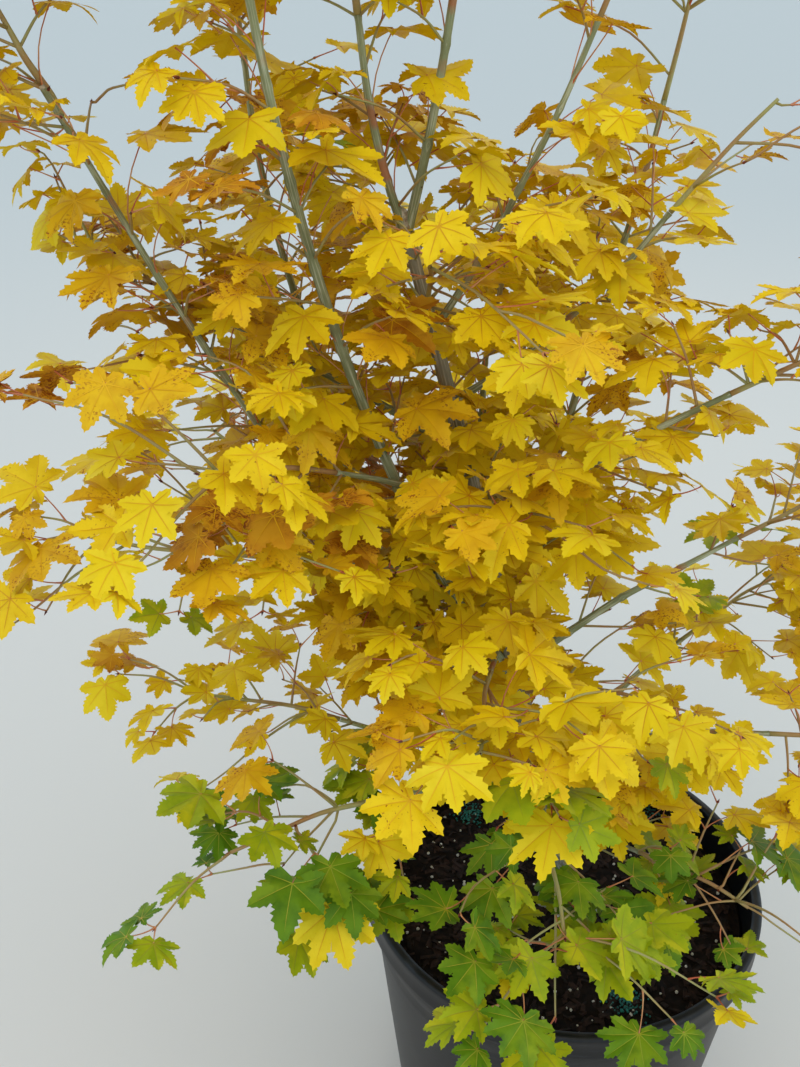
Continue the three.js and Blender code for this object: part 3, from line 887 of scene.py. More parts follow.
@dataclass
class Bough:
    """One tapering limb, ringed where each pair of leaves or shoots stood."""

    spec: LimbSpec
    trunk: Trunk
    sides: int = 16
    pieces: int = 12
    path: Path = field(init=False)

    def __post_init__(self) -> None:
        """Works out the nodes."""
        spec = self.spec
        start = point_on(self.trunk.path, spec.at)
        self.path = limb_path(start, spec.azimuth, spec.turn, spec.lean, spec.length)

    def spray_path(self) -> Path:
        """Sets out the stem that carries the bough on inside its mass of foliage.

        Returns:
            The stem's nodes.
        """
        spec = self.spec
        along = direction_on(self.path, 1)
        azimuth = math.degrees(math.atan2(along[1], along[0])) + ZIGZAG
        lean = (math.degrees(math.acos(along[2])), spec.spray_lean)
        return limb_path(self.path[-1] + along * JOINT_GAP, azimuth, spec.turn / 2, lean, spec.spray_length)

    def radius(self, share: float) -> float:
        """Returns the plain radius at a share of the length; some standing stems thin out faster."""
        slim = SLIMMED.get(self.spec.name, 0.1) if self.is_upright() else 0.05
        return lerp(*self.spec.radii, share**0.8) * (1 - slim * share**0.5)

    def is_upright(self) -> bool:
        """Returns whether this is one of the standing stems."""
        return self.spec.name.startswith(UPRIGHT)

    def build(self) -> None:
        """Makes the bark, and for the pruned stem its cut face."""
        path = [*self.path, *self.cut_path()]
        tube = Tube(smoothed(path, self.pieces), self.sides, self.bark_radius)
        bark = mesh_object("bark_" + self.spec.name, *tube.shape())
        dress(bark, BARK, ["bough_" + self.spec.name])
        if self.spec.name == PRUNED:
            self.build_cut(path)

    def bark_radius(self, far: float, angles: Array) -> Array:
        """Works out the radius of the bark, with its collar, its ringed nodes and its soft ribs.

        Args:
            far: the distance from the limb's start, in millimetres.
            angles: round the limb, in radians.

        Returns:
            The radius at each angle.
        """
        length, seed = self.spec.length, self.spec.azimuth
        nodes = np.arange(1, len(self.path)) * length / (len(self.path) - 1)
        radius = self.radius(min(far / length, 1))
        ribs = 0.035 * np.cos(angles * 5 + seed) + 0.03 * np.cos(angles * 8 + far / 90)
        collar = 0.2 * math.exp(-far / 9)
        knot = swollen(far, nodes, 0.2, 3.2) + swollen(far, nodes - 5, -0.05, 2)
        wave = noise.noise(Vector((seed, far / 24, 0.5))) * 0.05
        return radius * (1 + ribs + collar + knot + wave)

    def cut_path(self) -> Path:
        """Returns the further nodes of the pruned stem, up to its cut."""
        shares = np.linspace(0, CUT_AT, 3)[1:] if self.spec.name == PRUNED else []
        return [point_on(self.spray_path(), share) for share in shares]

    def build_cut(self, path: Path) -> None:
        """Makes the pale face of the pruning cut on the stem's old tip.

        Args:
            path: the stem's nodes, up to the cut.
        """
        up = direction_on(path, 1)
        curve = path[-1] + np.linspace(-1, 2.2, 5)[:, None] * up
        radius = self.radius(1)
        cut = Tube(curve, 16, lambda far, angles: np.full(len(angles), radius * (1.04 - 0.04 * far)))
        dress(mesh_object("pruning_cut", *cut.shape()), CUT_WOOD, [])


# Foliage: the rule of the solids


TWIG_NODES = (0.2, 0.52, 0.84)
TWIG_STAGGER = 5.0
TWIG_SPREAD = 56.0
TWIG_SPREAD_PLAY = 9.0
TWIG_SHARE = 0.5
TWIG_THINNING = 0.35
TWIG_FLATTEN = 0.62
TWIG_RADIUS = 1.7
STEM_TIP_RADIUS = 3.0
FAN_RADIUS = 112.0  # of a solid's large leaf, which stands for the few real ones of a short shoot
FAN_LOBES = ((-106, 0.7), (-52, 0.94), (0, 1.0), (52, 0.94), (106, 0.7))
FAN_DROOP = 0.1
STALK_LENGTH = 40.0
STALK_RADIUS = 0.7
STALK_RAISED = 0.4
PAIR_NODES = (0.78, 0.7)
STALK_CLEAR = 10.0
FAN_PITCH = (8.0, 30.0)
FAN_ROLL = 14.0
FAN_FORK = 74.0
FAN_TURNS = (0, 22, -22, 44, -44, 66, -66)
FAN_STRETCHES = (1, 0.7, 1.5)
FAN_MATCH = 1.0  # a fan is in the solid if its lobes' tips are points of it, to a millimetre


@dataclass(frozen=True)
class Fan:
    """One large leaf of a mass, on its stalk."""

    root: Point
    away: Point
    thick: float
    facing: Point
    stalk: float
    pitch: float
    roll: float

    def seat(self) -> Point:
        """Returns where the blade sits on the stalk."""
        return self.root + self.away * self.stalk

    def frame(self) -> tuple[Point, Point, Point]:
        """Works out how the blade lies.

        Returns:
            Its directions: to the right, ahead and out of its face.
        """
        ahead = self.facing * math.cos(self.pitch) - UP * math.sin(self.pitch)
        face = turned(unit(UP - ahead * float(UP @ ahead)), ahead, self.roll)
        return np.cross(ahead, face), ahead, face

    def tips(self) -> list[Point]:
        """Works out the large leaf's reach.

        Returns:
            The tips of its five lobes.
        """
        right, ahead, face = self.frame()
        tips = []
        for angle, reach in FAN_LOBES:
            a = math.radians(angle)
            out = ahead * math.cos(a) - right * math.sin(a) - face * FAN_DROOP
            tips.append(self.seat() + out * reach * FAN_RADIUS)
        return tips

    def changed(self, turn: float, stretch: float, whole: bool) -> "Fan":
        """Changes the way that the fan hangs.

        Args:
            turn: degrees that its blade turns.
            stretch: how much longer its stalk is.
            whole: whether its stalk turns too.

        Returns:
            The changed fan.
        """
        away = turned(self.away, UP, math.radians(turn)) if whole else self.away
        facing = levelled(away) if whole else turned(self.facing, UP, math.radians(turn))
        return Fan(self.root, away, self.thick, facing, self.stalk * stretch, self.pitch, self.roll)


def hang(root: Point, away: Point, thick: float, stream: Seeded) -> Fan:
    """Hangs a large leaf on a stalk: three draws.

    Args:
        root: where the stalk leaves its twig.
        away: the stalk's direction.
        thick: its radius.
        stream: the numbers.

    Returns:
        The leaf.
    """
    stalk = STALK_LENGTH * (0.85 + 0.3 * stream.draw())
    pitch = math.radians(lerp(*FAN_PITCH, stream.draw()))
    roll = math.radians(FAN_ROLL * (2 * stream.draw() - 1))
    return Fan(root, away, thick, levelled(away), stalk, pitch, roll)


def side_fans(fan: Fan, stream: Seeded) -> list[Fan]:
    """Hangs the pair of large leaves on another one's stalk: five draws each.

    Args:
        fan: the other one.
        stream: the numbers.

    Returns:
        The pair.
    """
    pair = []
    for i, share in enumerate(PAIR_NODES):
        fork = FAN_FORK * (0.8 + 0.4 * stream.draw()) * (-1 if i else 1)
        away = turned(fan.away, UP, math.radians(fork))
        away = away + UP * (0.1 + 0.25 * stream.draw())
        foot = fan.root + fan.away * fan.stalk * share + UP * STALK_RAISED
        pair.append(hang(foot, unit(away), STALK_RADIUS, stream))
    return pair


@dataclass
class Mass:
    """One mass of foliage: a stem, its crossed twigs, and the fans that its solid has."""

    name: str
    path: Path
    length: float
    radius: float
    index: int
    fans: list[Fan] = field(default_factory=list)
    solid: BVHTree = field(init=False)
    corners: KDTree = field(init=False)

    def __post_init__(self) -> None:
        """Reads the reach of the solid that this mass replaces."""
        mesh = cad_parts[self.node()].data
        points = [v.co / MM for v in mesh.vertices]
        self.solid = BVHTree.FromPolygons(points, [tuple(p.vertices) for p in mesh.polygons])
        self.corners = KDTree(len(points))
        for i, point in enumerate(points):
            self.corners.insert(point, i)
        self.corners.balance()

    def node(self) -> str:
        """Returns the name of the solid's node."""
        return "leaves_" + self.name

    def has(self, fan: Fan) -> bool:
        """Returns whether the solid has this large leaf."""
        return all(self.corners.find(Vector(tip))[2] < FAN_MATCH for tip in fan.tips())

    def holds(self, point: Point, slack: float) -> bool:
        """Returns whether a point is within so many millimetres of the solid."""
        return self.solid.find_nearest(Vector(point), slack)[0] is not None

    def twigs(self) -> list[tuple[Point, Point, float]]:
        """Sets out the twigs: three draws each, after one for the whorl.

        Returns:
            Each twig's start, heading and length.
        """
        stream = Seeded(self.index + 1)
        phase = stream.draw() * 90
        found = []
        for node, share in enumerate(TWIG_NODES):
            along = direction_on(self.path, share)
            across, over = crossways(along)
            angle = math.radians(phase + 90 * node)
            for sign in (1, -1):
                out = (across * math.cos(angle) + over * math.sin(angle)) * sign
                spread = math.radians(TWIG_SPREAD + TWIG_SPREAD_PLAY * (2 * stream.draw() - 1))
                way = along * math.cos(spread) + out * math.sin(spread)
                way[2] = way[2] * TWIG_FLATTEN + 0.12 * stream.draw()
                start = point_on(self.path, share) + along * (0 if sign > 0 else TWIG_STAGGER)
                size = (1 - TWIG_THINNING * share) * (0.8 + 0.4 * stream.draw())
                found.append((start, unit(way), self.length * TWIG_SHARE * size))
        return found

    def keep(self, wanted: Fan, whole: bool) -> Fan | None:
        """Keeps the first change of a large leaf that the solid has.

        Args:
            wanted: the large leaf, as the rule hangs it.
            whole: whether its stalk turns too.

        Returns:
            What was kept, or nothing.
        """
        for stretch in FAN_STRETCHES:
            for turn in FAN_TURNS:
                fan = wanted.changed(turn, stretch, whole)
                if self.has(fan):
                    self.fans.append(fan)
                    return fan
        return None

    def grow(self) -> None:
        """Grows the large leaves by the rule of the solids."""
        stream = Seeded(self.index + 101)
        way = direction_on(self.path, 1)
        tip = self.path[-1]
        short = Fan(tip - way * 2 * STALK_CLEAR, way, 0, levelled(way), STALK_CLEAR, 0, 0)
        sides = side_fans(short, stream)
        self.keep(hang(tip - way * 6, way, STALK_RADIUS, stream), False)
        for fan in sides:
            self.keep(fan, True)
        for start, along, length in self.twigs():
            bare = hang(start, along, TWIG_RADIUS, stream)
            wanted = replace(bare, stalk=bare.stalk + length)
            end = self.keep(wanted, False)
            sides = side_fans(end or wanted, stream)
            for fan in sides if end else []:
                self.keep(fan, True)


# Foliage: life-size leaves


@dataclass(frozen=True)
class Lobe:
    """One lobe of a leaf. Reach is a share of the middle lobe's, and width of its own reach."""

    angle: float
    reach: float
    half_width: float
    teeth: int


@dataclass(frozen=True)
class BladeCut:
    """The outline of a leaf, cut between its lobes, and the points and faces that fill it."""

    lobes: tuple[Lobe, ...]
    sinus: float  # how far out the cut between two lobes ends, as a share of their reach

    RIBS = (0.34, 0.62, 0.84)
    TOOTH = 0.058

    def edge(self, lobe: Lobe) -> list[Pair]:
        """Returns the points of a lobe's edge from its foot to its tip, along it and across it.

        Args:
            lobe: the lobe, which swells above its foot and then narrows to a point.

        Returns:
            Each tooth, which leans forward, and the notch after it.
        """
        marks = []
        for k in range(lobe.teeth):
            for step, out in ((k + 0.74, self.TOOTH), (k + 0.94, -0.5 * self.TOOTH)):
                share = step / (lobe.teeth + 0.4)
                swell = (1 - share**2) ** 0.9 * (0.9 + 0.35 * math.sin(math.pi * share))
                width = lobe.half_width * swell + out * (1 - 0.6 * share)
                marks.append((lerp(self.sinus + 0.07, 1, share), width))
        return marks

    def place(self, rows: list[tuple], lobe: int, along: float, across: float, rib: bool = False) -> int:
        """Adds a point of the flat blade.

        Args:
            rows: the points so far.
            lobe: the number of its lobe.
            along: its share of that lobe.
            across: how far it is to the side, as a share of that lobe.
            rib: whether it is on the rib.

        Returns:
            The point's number.
        """
        a = math.radians(self.lobes[lobe].angle)
        reach = self.lobes[lobe].reach
        x = (-math.sin(a) * along - math.cos(a) * across) * reach
        y = (math.cos(a) * along - math.sin(a) * across) * reach
        rows.append((x, y, lobe, along, abs(across) * reach, rib))
        return len(rows) - 1

    def notch(self, rows: list[tuple], lobe: int) -> int:
        """Adds the point where the cut between a lobe and the next one ends.

        Args:
            rows: the points so far.
            lobe: the lobe's number.

        Returns:
            The point's number.
        """
        here, after = self.lobes[lobe], self.lobes[lobe + 1]
        gap = math.radians(after.angle - here.angle) / 2
        scaled = self.sinus * (here.reach + after.reach) / 2 / here.reach
        return self.place(rows, lobe, scaled * math.cos(gap), scaled * math.sin(gap))

    def shape(self) -> dict[str, Array]:
        """Works out the flat blade.

        Returns:
            Its points, faces, and for each point its lobe, its share along that lobe, how far it
            lies from that lobe's rib, and whether it is on a rib.
        """
        rows: list[tuple] = [(0.0, 0.0, 0, 0.0, 0.0, True)]
        faces: list[tuple[int, int, int]] = []
        last = len(self.lobes) - 1
        notches = [self.place(rows, 0, 0.1, -0.16), *(self.notch(rows, i) for i in range(last))]
        notches.append(self.place(rows, last, 0.1, 0.16))
        for i, lobe in enumerate(self.lobes):
            rib = [0, *(self.place(rows, i, share, 0, True) for share in (*self.RIBS, 1))]
            for side in (1, -1):
                foot = notches[i + 1] if side > 0 else notches[i]
                edge = [foot, *(self.place(rows, i, a, side * w) for a, w in self.edge(lobe)), rib[-1]]
                faces += self.stitched(rows, rib, edge, side)
        table = {
            name: np.array([row[column] for row in rows])
            for column, name in enumerate(("x", "y", "lobe", "along", "aside", "rib"))
        }
        return table | {"faces": np.array(faces)}

    @staticmethod
    def stitched(rows: list[tuple], rib: list[int], edge: list[int], side: int) -> list[tuple[int, int, int]]:
        """Fills a lobe between its rib and one of its edges.

        Args:
            rows: the points.
            rib: the numbers of those on the rib, from the seat.
            edge: the numbers of those on the edge, from the seat.
            side: 1 or -1.

        Returns:
            The triangles.
        """
        far = [math.hypot(*rows[i][:2]) for i in range(len(rows))]
        faces, i, j = [], 0, 0
        while i < len(rib) - 1 or j < len(edge) - 1:
            step_rib = j == len(edge) - 1 or (i < len(rib) - 1 and far[rib[i + 1]] <= far[edge[j + 1]])
            following = rib[i + 1] if step_rib else edge[j + 1]
            face = (rib[i], following, edge[j])
            if len(set(face)) == 3:
                faces.append(face if side > 0 else face[::-1])
            i, j = (i + 1, j) if step_rib else (i, j + 1)
        return faces


def leaf_cut(sinus: float, *half: tuple[float, float, float, int]) -> BladeCut:
    """Works out the cut of a leaf whose sides are alike.

    Args:
        sinus: as in BladeCut.
        half: the numbers of the middle lobe and of those on one side.

    Returns:
        The cut, with all its lobes.
    """
    left = [Lobe(-angle, *rest) for angle, *rest in half[1:]]
    return BladeCut((*reversed(left), *(Lobe(*row) for row in half)), sinus)


BLADE_CUTS = {  # each with its share of the leaves
    leaf_cut(0.4, (0, 1, 0.2, 5), (46, 0.95, 0.2, 4), (92, 0.77, 0.21, 3), (137, 0.46, 0.24, 2)): 0.3,
    leaf_cut(0.47, (0, 1, 0.215, 5), (49, 0.9, 0.215, 4), (97, 0.7, 0.225, 3), (142, 0.4, 0.26, 2)): 0.25,
    leaf_cut(
        0.5, (0, 1, 0.155, 4), (37, 0.97, 0.155, 3), (74, 0.87, 0.165, 3), (111, 0.68, 0.18, 2),
        (147, 0.42, 0.22, 2),
    ): 0.2,
    leaf_cut(0.31, (0, 1, 0.18, 5), (45, 0.98, 0.18, 4), (90, 0.82, 0.19, 4), (135, 0.5, 0.22, 2)): 0.13,
    leaf_cut(0.36, (0, 1, 0.22, 5), (56, 0.92, 0.22, 4), (108, 0.64, 0.25, 3)): 0.12,
}


@dataclass(frozen=True)
class Leaf:
    """One life-size leaf: where its stalk leaves the shoot, and how its blade lies."""

    node: Point
    way: Point  # heading of the stalk where it leaves
    seat: Point
    facing: Point
    pitch: float
    roll: float
    radius: float
    tint: Tint
    back: float = 0.0  # how far its node is from the shoot's tip

    def ahead(self) -> Point:
        """Returns the direction of the middle lobe."""
        return self.facing * math.cos(self.pitch) - UP * math.sin(self.pitch)

    def centre(self) -> Point:
        """Returns the middle of the blade."""
        return self.seat + self.ahead() * (0.3 * self.radius)

    def tips(self) -> list[Point]:
        """Works out the leaf's reach, roughly.

        Returns:
            The tips of its three longest lobes.
        """
        ahead = self.ahead()
        side = np.cross(ahead, UP)
        return [
            self.seat + (ahead * math.cos(a) + side * math.sin(a)) * self.radius
            for a in (0, math.radians(48), math.radians(-48))
        ]


RIB_NAMES = {False: "leaf_ribs_gold", True: "leaf_ribs_green"}


@dataclass
class Press:
    """Turns leaves into blades, ribs and stalks, many at once, each bent in its own way."""

    rng: np.random.Generator = field(default_factory=lambda: np.random.default_rng(4711))
    ribs: dict[bool, Sheaf] = field(default_factory=lambda: {k: Sheaf(RIB_NAMES[k]) for k in (False, True)})
    rib_widths: Triple = (0.55, 0.42, 0.28)  # half, at the seat and outwards

    def blades(self, leaves: list[Leaf], name: str) -> Sheaf:
        """Makes the blades of leaves of one tint, and their ribs.

        Args:
            leaves: the leaves.
            name: the joined piece's name.

        Returns:
            The sheaf of blades.
        """
        sheaf = Sheaf(name)
        kinds = self.rng.choice(len(BLADE_CUTS), size=len(leaves), p=list(BLADE_CUTS.values()))
        for kind, cut in enumerate(BLADE_CUTS):
            chosen = [leaf for leaf, k in zip(leaves, kinds) if k == kind]
            if chosen:
                self.press(sheaf, chosen, cut.shape(), len(cut.lobes))
        return sheaf

    def press(self, sheaf: Sheaf, leaves: list[Leaf], flat: dict[str, Array], lobes: int) -> None:
        """Adds leaves of one cut, each folded, drooped and fluttered by its own draws.

        Args:
            sheaf: what they are added to.
            leaves: the leaves.
            flat: their flat blade.
            lobes: how many lobes it has.
        """
        n = len(leaves)
        rng = self.rng
        x, y, lobe, along, aside = (flat[name] for name in ("x", "y", "lobe", "along", "aside"))
        out = np.hypot(x, y)
        angle = np.arctan2(-x, y)
        spread = np.where(angle > 0, rng.uniform(0.84, 1.08, (n, 1)), rng.uniform(0.84, 1.08, (n, 1)))
        x, y = -out * np.sin(angle * spread), out * np.cos(angle * spread)
        stretch = 1 + (rng.uniform(-0.14, 0.08, (n, lobes))[:, lobe]) * along**2
        fold = rng.uniform(0.04, 0.42, (n, 1)) * aside
        droop = rng.uniform(0.0, 0.22, (n, 1)) * out**2
        cup = rng.uniform(-0.18, 0.16, (n, 1)) * x**2
        curl = rng.normal(0, 0.11, (n, lobes))[:, lobe] * along**3
        ripple = rng.uniform(0.0, 0.09, (n, 1)) * out**2
        flutter = ripple * np.sin(3 * angle + rng.uniform(0, 2 * math.pi, (n, 1)))
        lift = fold - droop - cup + curl + flutter
        ahead = np.array([leaf.ahead() for leaf in leaves])
        roll = np.array([leaf.roll for leaf in leaves])[:, None]
        level = np.cross(ahead, UP)
        level /= np.linalg.norm(level, axis=1, keepdims=True)
        over = np.cross(level, ahead)
        face = over * np.cos(roll) + level * np.sin(roll)
        right = np.cross(ahead, face)
        size = np.array([leaf.radius for leaf in leaves])[:, None]
        seat = np.array([leaf.seat for leaf in leaves])
        points = (
            seat[:, None]
            + (x * stretch * size)[..., None] * right[:, None]
            + (y * stretch * size)[..., None] * ahead[:, None]
            + (lift * size)[..., None] * face[:, None]
        )
        count = len(lobe)
        faces = flat["faces"][None] + (np.arange(n) * count)[:, None, None]
        sheaf.add(points.reshape(-1, 3), faces.reshape(-1, 3), np.tile(flat["rib"], n))
        for number in range(lobes):
            rows = [0, *np.flatnonzero(flat["rib"] & (lobe == number) & (along > 0))]
            self.add_ribs(points[:, rows[:4]], face, leaves[0].tint in (Tint.LIME, Tint.GREEN))

    def add_ribs(self, line: Array, face: Array, green: bool) -> None:
        """Lays a tapering rib on the same lobe of many leaves.

        Args:
            line: four points from the seat outwards, for each leaf.
            face: the way that each blade faces.
            green: whether the leaves are green.
        """
        raised = line + face[:, None] * 0.4
        beside = np.cross(face, line[:, 1] - line[:, 0])
        beside /= np.linalg.norm(beside, axis=1, keepdims=True)
        pairs = [raised[:, i] + beside * w * side for i, w in enumerate(self.rib_widths) for side in (1, -1)]
        points = np.stack([*pairs, raised[:, 3]], axis=1)
        strip = np.array([[0, 1, 2], [1, 3, 2], [2, 3, 4], [3, 5, 4], [4, 5, 6]])
        faces = strip[None] + (np.arange(len(line)) * points.shape[1])[:, None, None]
        self.ribs[green].add(points.reshape(-1, 3), faces.reshape(-1, 3))

    def stalks(self, leaves: list[Leaf], name: str) -> Sheaf:
        """Makes the stalks of leaves: each leaves its node at a slant and bends under its blade.

        Args:
            leaves: the leaves.
            name: the joined piece's name.

        Returns:
            The sheaf of stalks.
        """
        sheaf = Sheaf(name)
        node = np.array([leaf.node for leaf in leaves])
        seat = np.array([leaf.seat for leaf in leaves])
        way = np.array([leaf.way for leaf in leaves])
        ahead = np.array([leaf.ahead() for leaf in leaves])
        length = np.linalg.norm(seat - node, axis=1, keepdims=True)
        first = node + way * length * 0.4
        second = seat - ahead * length * 0.1 - (seat - node) * 0.16 - UP * length * 0.05
        t = np.linspace(0, 1, 6)[None, :, None]
        a, b, c, d = (p[:, None] for p in (node, first, second, seat + UP * 0.6))
        curve = a * (1 - t) ** 3 + 3 * b * t * (1 - t) ** 2 + 3 * c * t * t * (1 - t) + d * t**3
        along = np.gradient(curve, axis=1)
        along /= np.linalg.norm(along, axis=2, keepdims=True)
        level = np.cross(ahead, UP)[:, None]
        beside = level - along * np.sum(level * along, 2, keepdims=True)
        beside /= np.linalg.norm(beside, axis=2, keepdims=True)
        over = np.cross(beside, along)
        radius = np.array([1.3, 0.85, 0.75, 0.7, 0.7, 0.95])[None, :, None]
        corners = [2 * math.pi * k / 3 for k in range(3)]
        sides = [beside * math.cos(q) + over * math.sin(q) for q in corners]
        rings = np.stack([curve + radius * side for side in sides], axis=2)
        count = rings.shape[1] * 3
        faces = ring_faces(rings.shape[1], 3, False, False)
        faces = faces[None] + (np.arange(len(leaves)) * count)[:, None, None]
        sheaf.add(rings.reshape(-1, 3), faces.reshape(-1, 3))
        return sheaf


LEAF_PITCH = ((-20.0, 34.0), (-14.0, 48.0))  # degrees that a blade hangs, low in the crown and at its top
PITCH_HEIGHTS = (850.0, 1450.0)
LEAF_ROLL = 22.0


def blade_angles(height: float, stream: Seeded) -> Pair:
    """Turns a blade: most lie in tiers, and those at the top hang more.

    Args:
        height: where the blade is.
        stream: two numbers are drawn.

    Returns:
        Its pitch and roll, in radians.
    """
    share = min(max((height - PITCH_HEIGHTS[0]) / (PITCH_HEIGHTS[1] - PITCH_HEIGHTS[0]), 0), 1)
    low, high = (lerp(a, b, share) for a, b in zip(*LEAF_PITCH))
    return math.radians(stream.between(low, high)), math.radians(stream.between(-LEAF_ROLL, LEAF_ROLL))


@dataclass
class Shoot:
    """A thin leafy shoot with crossed pairs of leaves, spaced back from its tip."""

    path: Path
    radii: Pair
    tint: Tint
    pairs: int
    gap: float  # between two pairs
    leaf_radius: float
    bare: float = 1e6  # how far its end bears no leaf

    def span(self) -> float:
        """Returns the shoot's length."""
        return length_of(self.path)

    def at(self, back: float) -> tuple[Point, Point]:
        """Finds a place on the shoot.

        Args:
            back: how far it is from the tip.

        Returns:
            The point, and the direction there.
        """
        left = back
        for a, b in zip(reversed(self.path[:-1]), reversed(self.path[1:])):
            size = float(np.linalg.norm(b - a))
            if left <= size:
                return b + (a - b) * (left / size), unit(b - a)
            left -= size
        return self.path[0], unit(self.path[1] - self.path[0])

    def nearest(self, point: Point) -> Pair:
        """Finds where the shoot passes nearest to a point.

        Args:
            point: the point.

        Returns:
            How near it passes, and how far back from the tip that is.
        """
        starts, steps = np.array(self.path[:-1]), np.diff(self.path, axis=0)
        sizes = np.linalg.norm(steps, axis=1)
        shares = np.clip(np.sum((point - starts) * steps, axis=1) / sizes**2, 0, 1)
        offs = np.linalg.norm(starts + steps * shares[:, None] - point, axis=1)
        best = int(np.argmin(offs))
        return float(offs[best]), float(sizes[best:].sum() - sizes[best] * shares[best])

    def leaves(self, stream: Seeded) -> list[Leaf]:
        """Grows the leaves, pair by pair from the tip back.

        Args:
            stream: the numbers.

        Returns:
            The leaves.
        """
        found = []
        phase = stream.between(-20, 20)
        for j in range(self.pairs):
            back = j * self.gap
            if back > self.span() - 8:
                break
            node, along = self.at(back)
            across, over = crossways(along)
            angle = math.radians(phase + 90 * j)
            for sign in (1, -1):
                out = (across * math.cos(angle) + over * math.sin(angle)) * sign
                found.append(self.leaf(node, along, out, j, stream))
            if j == 0 and stream.draw() < 0.45:
                found.append(self.leaf(node, along, out * 0.1, 0, stream))
        return found

    def trimmed(self, back: float) -> "Shoot":
        """Cuts the shoot back to its outermost leaves.

        Args:
            back: how much comes off its tip.

        Returns:
            The shorter shoot.
        """
        path, left = list(self.path), back
        while len(path) > 2 and left >= np.linalg.norm(path[-1] - path[-2]):
            left -= float(np.linalg.norm(path[-1] - path[-2]))
            path.pop()
        step = path[-2] - path[-1]
        path[-1] = path[-1] + step * min(left / float(np.linalg.norm(step)), 0.9)
        return replace(self, path=path)

    def leaf(self, node: Point, along: Point, out: Point, j: int, stream: Seeded) -> Leaf:
        """Grows one leaf, on a stalk that leaves the shoot at a slant and turns its blade to the light.

        Args:
            node: where the stalk leaves.
            along: the shoot's direction there.
            out: the side that it leaves to.
            j: the number of its pair, from the tip back.
            stream: the numbers.

        Returns:
            The leaf.
        """
        slant = math.radians(stream.between(26, 56) + 9 * min(j, 2))
        way = along * math.cos(slant) + out * math.sin(slant)
        way = way * np.array([1, 1, 0.6]) + UP * stream.between(0.05, 0.42)
        way = unit(way)
        radius = self.leaf_radius * stream.between(0.62, 1.12) * (0.84 if j == 0 else 1.0)
        stalk = radius * stream.between(0.55, 0.8) * (1 + 0.22 * min(j, 2))
        facing = turned(levelled(way), UP, math.radians(stream.between(-80, 80)))
        seat = node + unit(way * 0.8 + facing * 0.35 + UP * 0.08) * stalk
        pitch, roll = blade_angles(seat[2], stream)
        tint = neighbour_tint(self.tint, stream)
        return Leaf(node, way, seat, facing, pitch, roll, radius, tint, j * self.gap)


TINT_NEIGHBOURS = {
    Tint.GOLD: (Tint.LEMON, Tint.AMBER),
    Tint.LEMON: (Tint.GOLD, Tint.GOLD),
    Tint.AMBER: (Tint.GOLD, Tint.RUSSET),
    Tint.LIME: (Tint.GREEN, Tint.LEMON),
    Tint.GREEN: (Tint.LIME, Tint.LIME),
    Tint.RUSSET: (Tint.AMBER, Tint.AMBER),
}


def neighbour_tint(tint: Tint, stream: Seeded) -> Tint:
    """Returns a spray's own tint for most of its leaves, and a neighbouring one for some."""
    pick, (first, second) = stream.draw(), TINT_NEIGHBOURS[tint]
    return first if pick < 0.14 else second if pick > 0.92 else tint


TINT_SHARES = {  # of each zone of the crown, in the order of Tint
    "skirt": (0.0, 0.02, 0.0, 0.4, 0.58, 0.0),
    "low_left": (0.02, 0.14, 0.0, 0.54, 0.3, 0.0),
    "lower": (0.5, 0.34, 0.03, 0.12, 0.01, 0.0),
    "main": (0.68, 0.24, 0.06, 0.015, 0.0, 0.005),
    "left": (0.5, 0.18, 0.24, 0.02, 0.0, 0.06),
}


SKIRT_TOP, LEFT_SKIRT_TOP = 475.0, 545.0  # how high the green goes, measured as in spray_tint
LOWER_TOP, LEFT_LOWER_TOP = 600.0, 690.0
LEFT_FLANK, BROWN_FLANK = -150.0, -190.0  # the flanks lie to the left of these


def spray_tint(place: Point, stream: Seeded) -> Tint:
    """Deals out a spray's tint: green in the low skirt over the pot, browner up the left side.

    Args:
        place: the spray's tip.
        stream: one number is drawn.

    Returns:
        The tint.
    """
    x, y, z = place
    height = z + y  # the green climbs towards the front
    if height < SKIRT_TOP:
        zone = "skirt"
    elif height < LEFT_SKIRT_TOP and x < LEFT_FLANK:
        zone = "low_left"
    elif height < (LEFT_LOWER_TOP if x < LEFT_FLANK else LOWER_TOP):
        zone = "lower"
    elif x < BROWN_FLANK:
        zone = "left"
    else:
        zone = "main"
    pick = stream.draw()
    for tint, share in zip(Tint, TINT_SHARES[zone]):
        pick -= share
        if pick < 0:
            return tint
    return Tint.GOLD


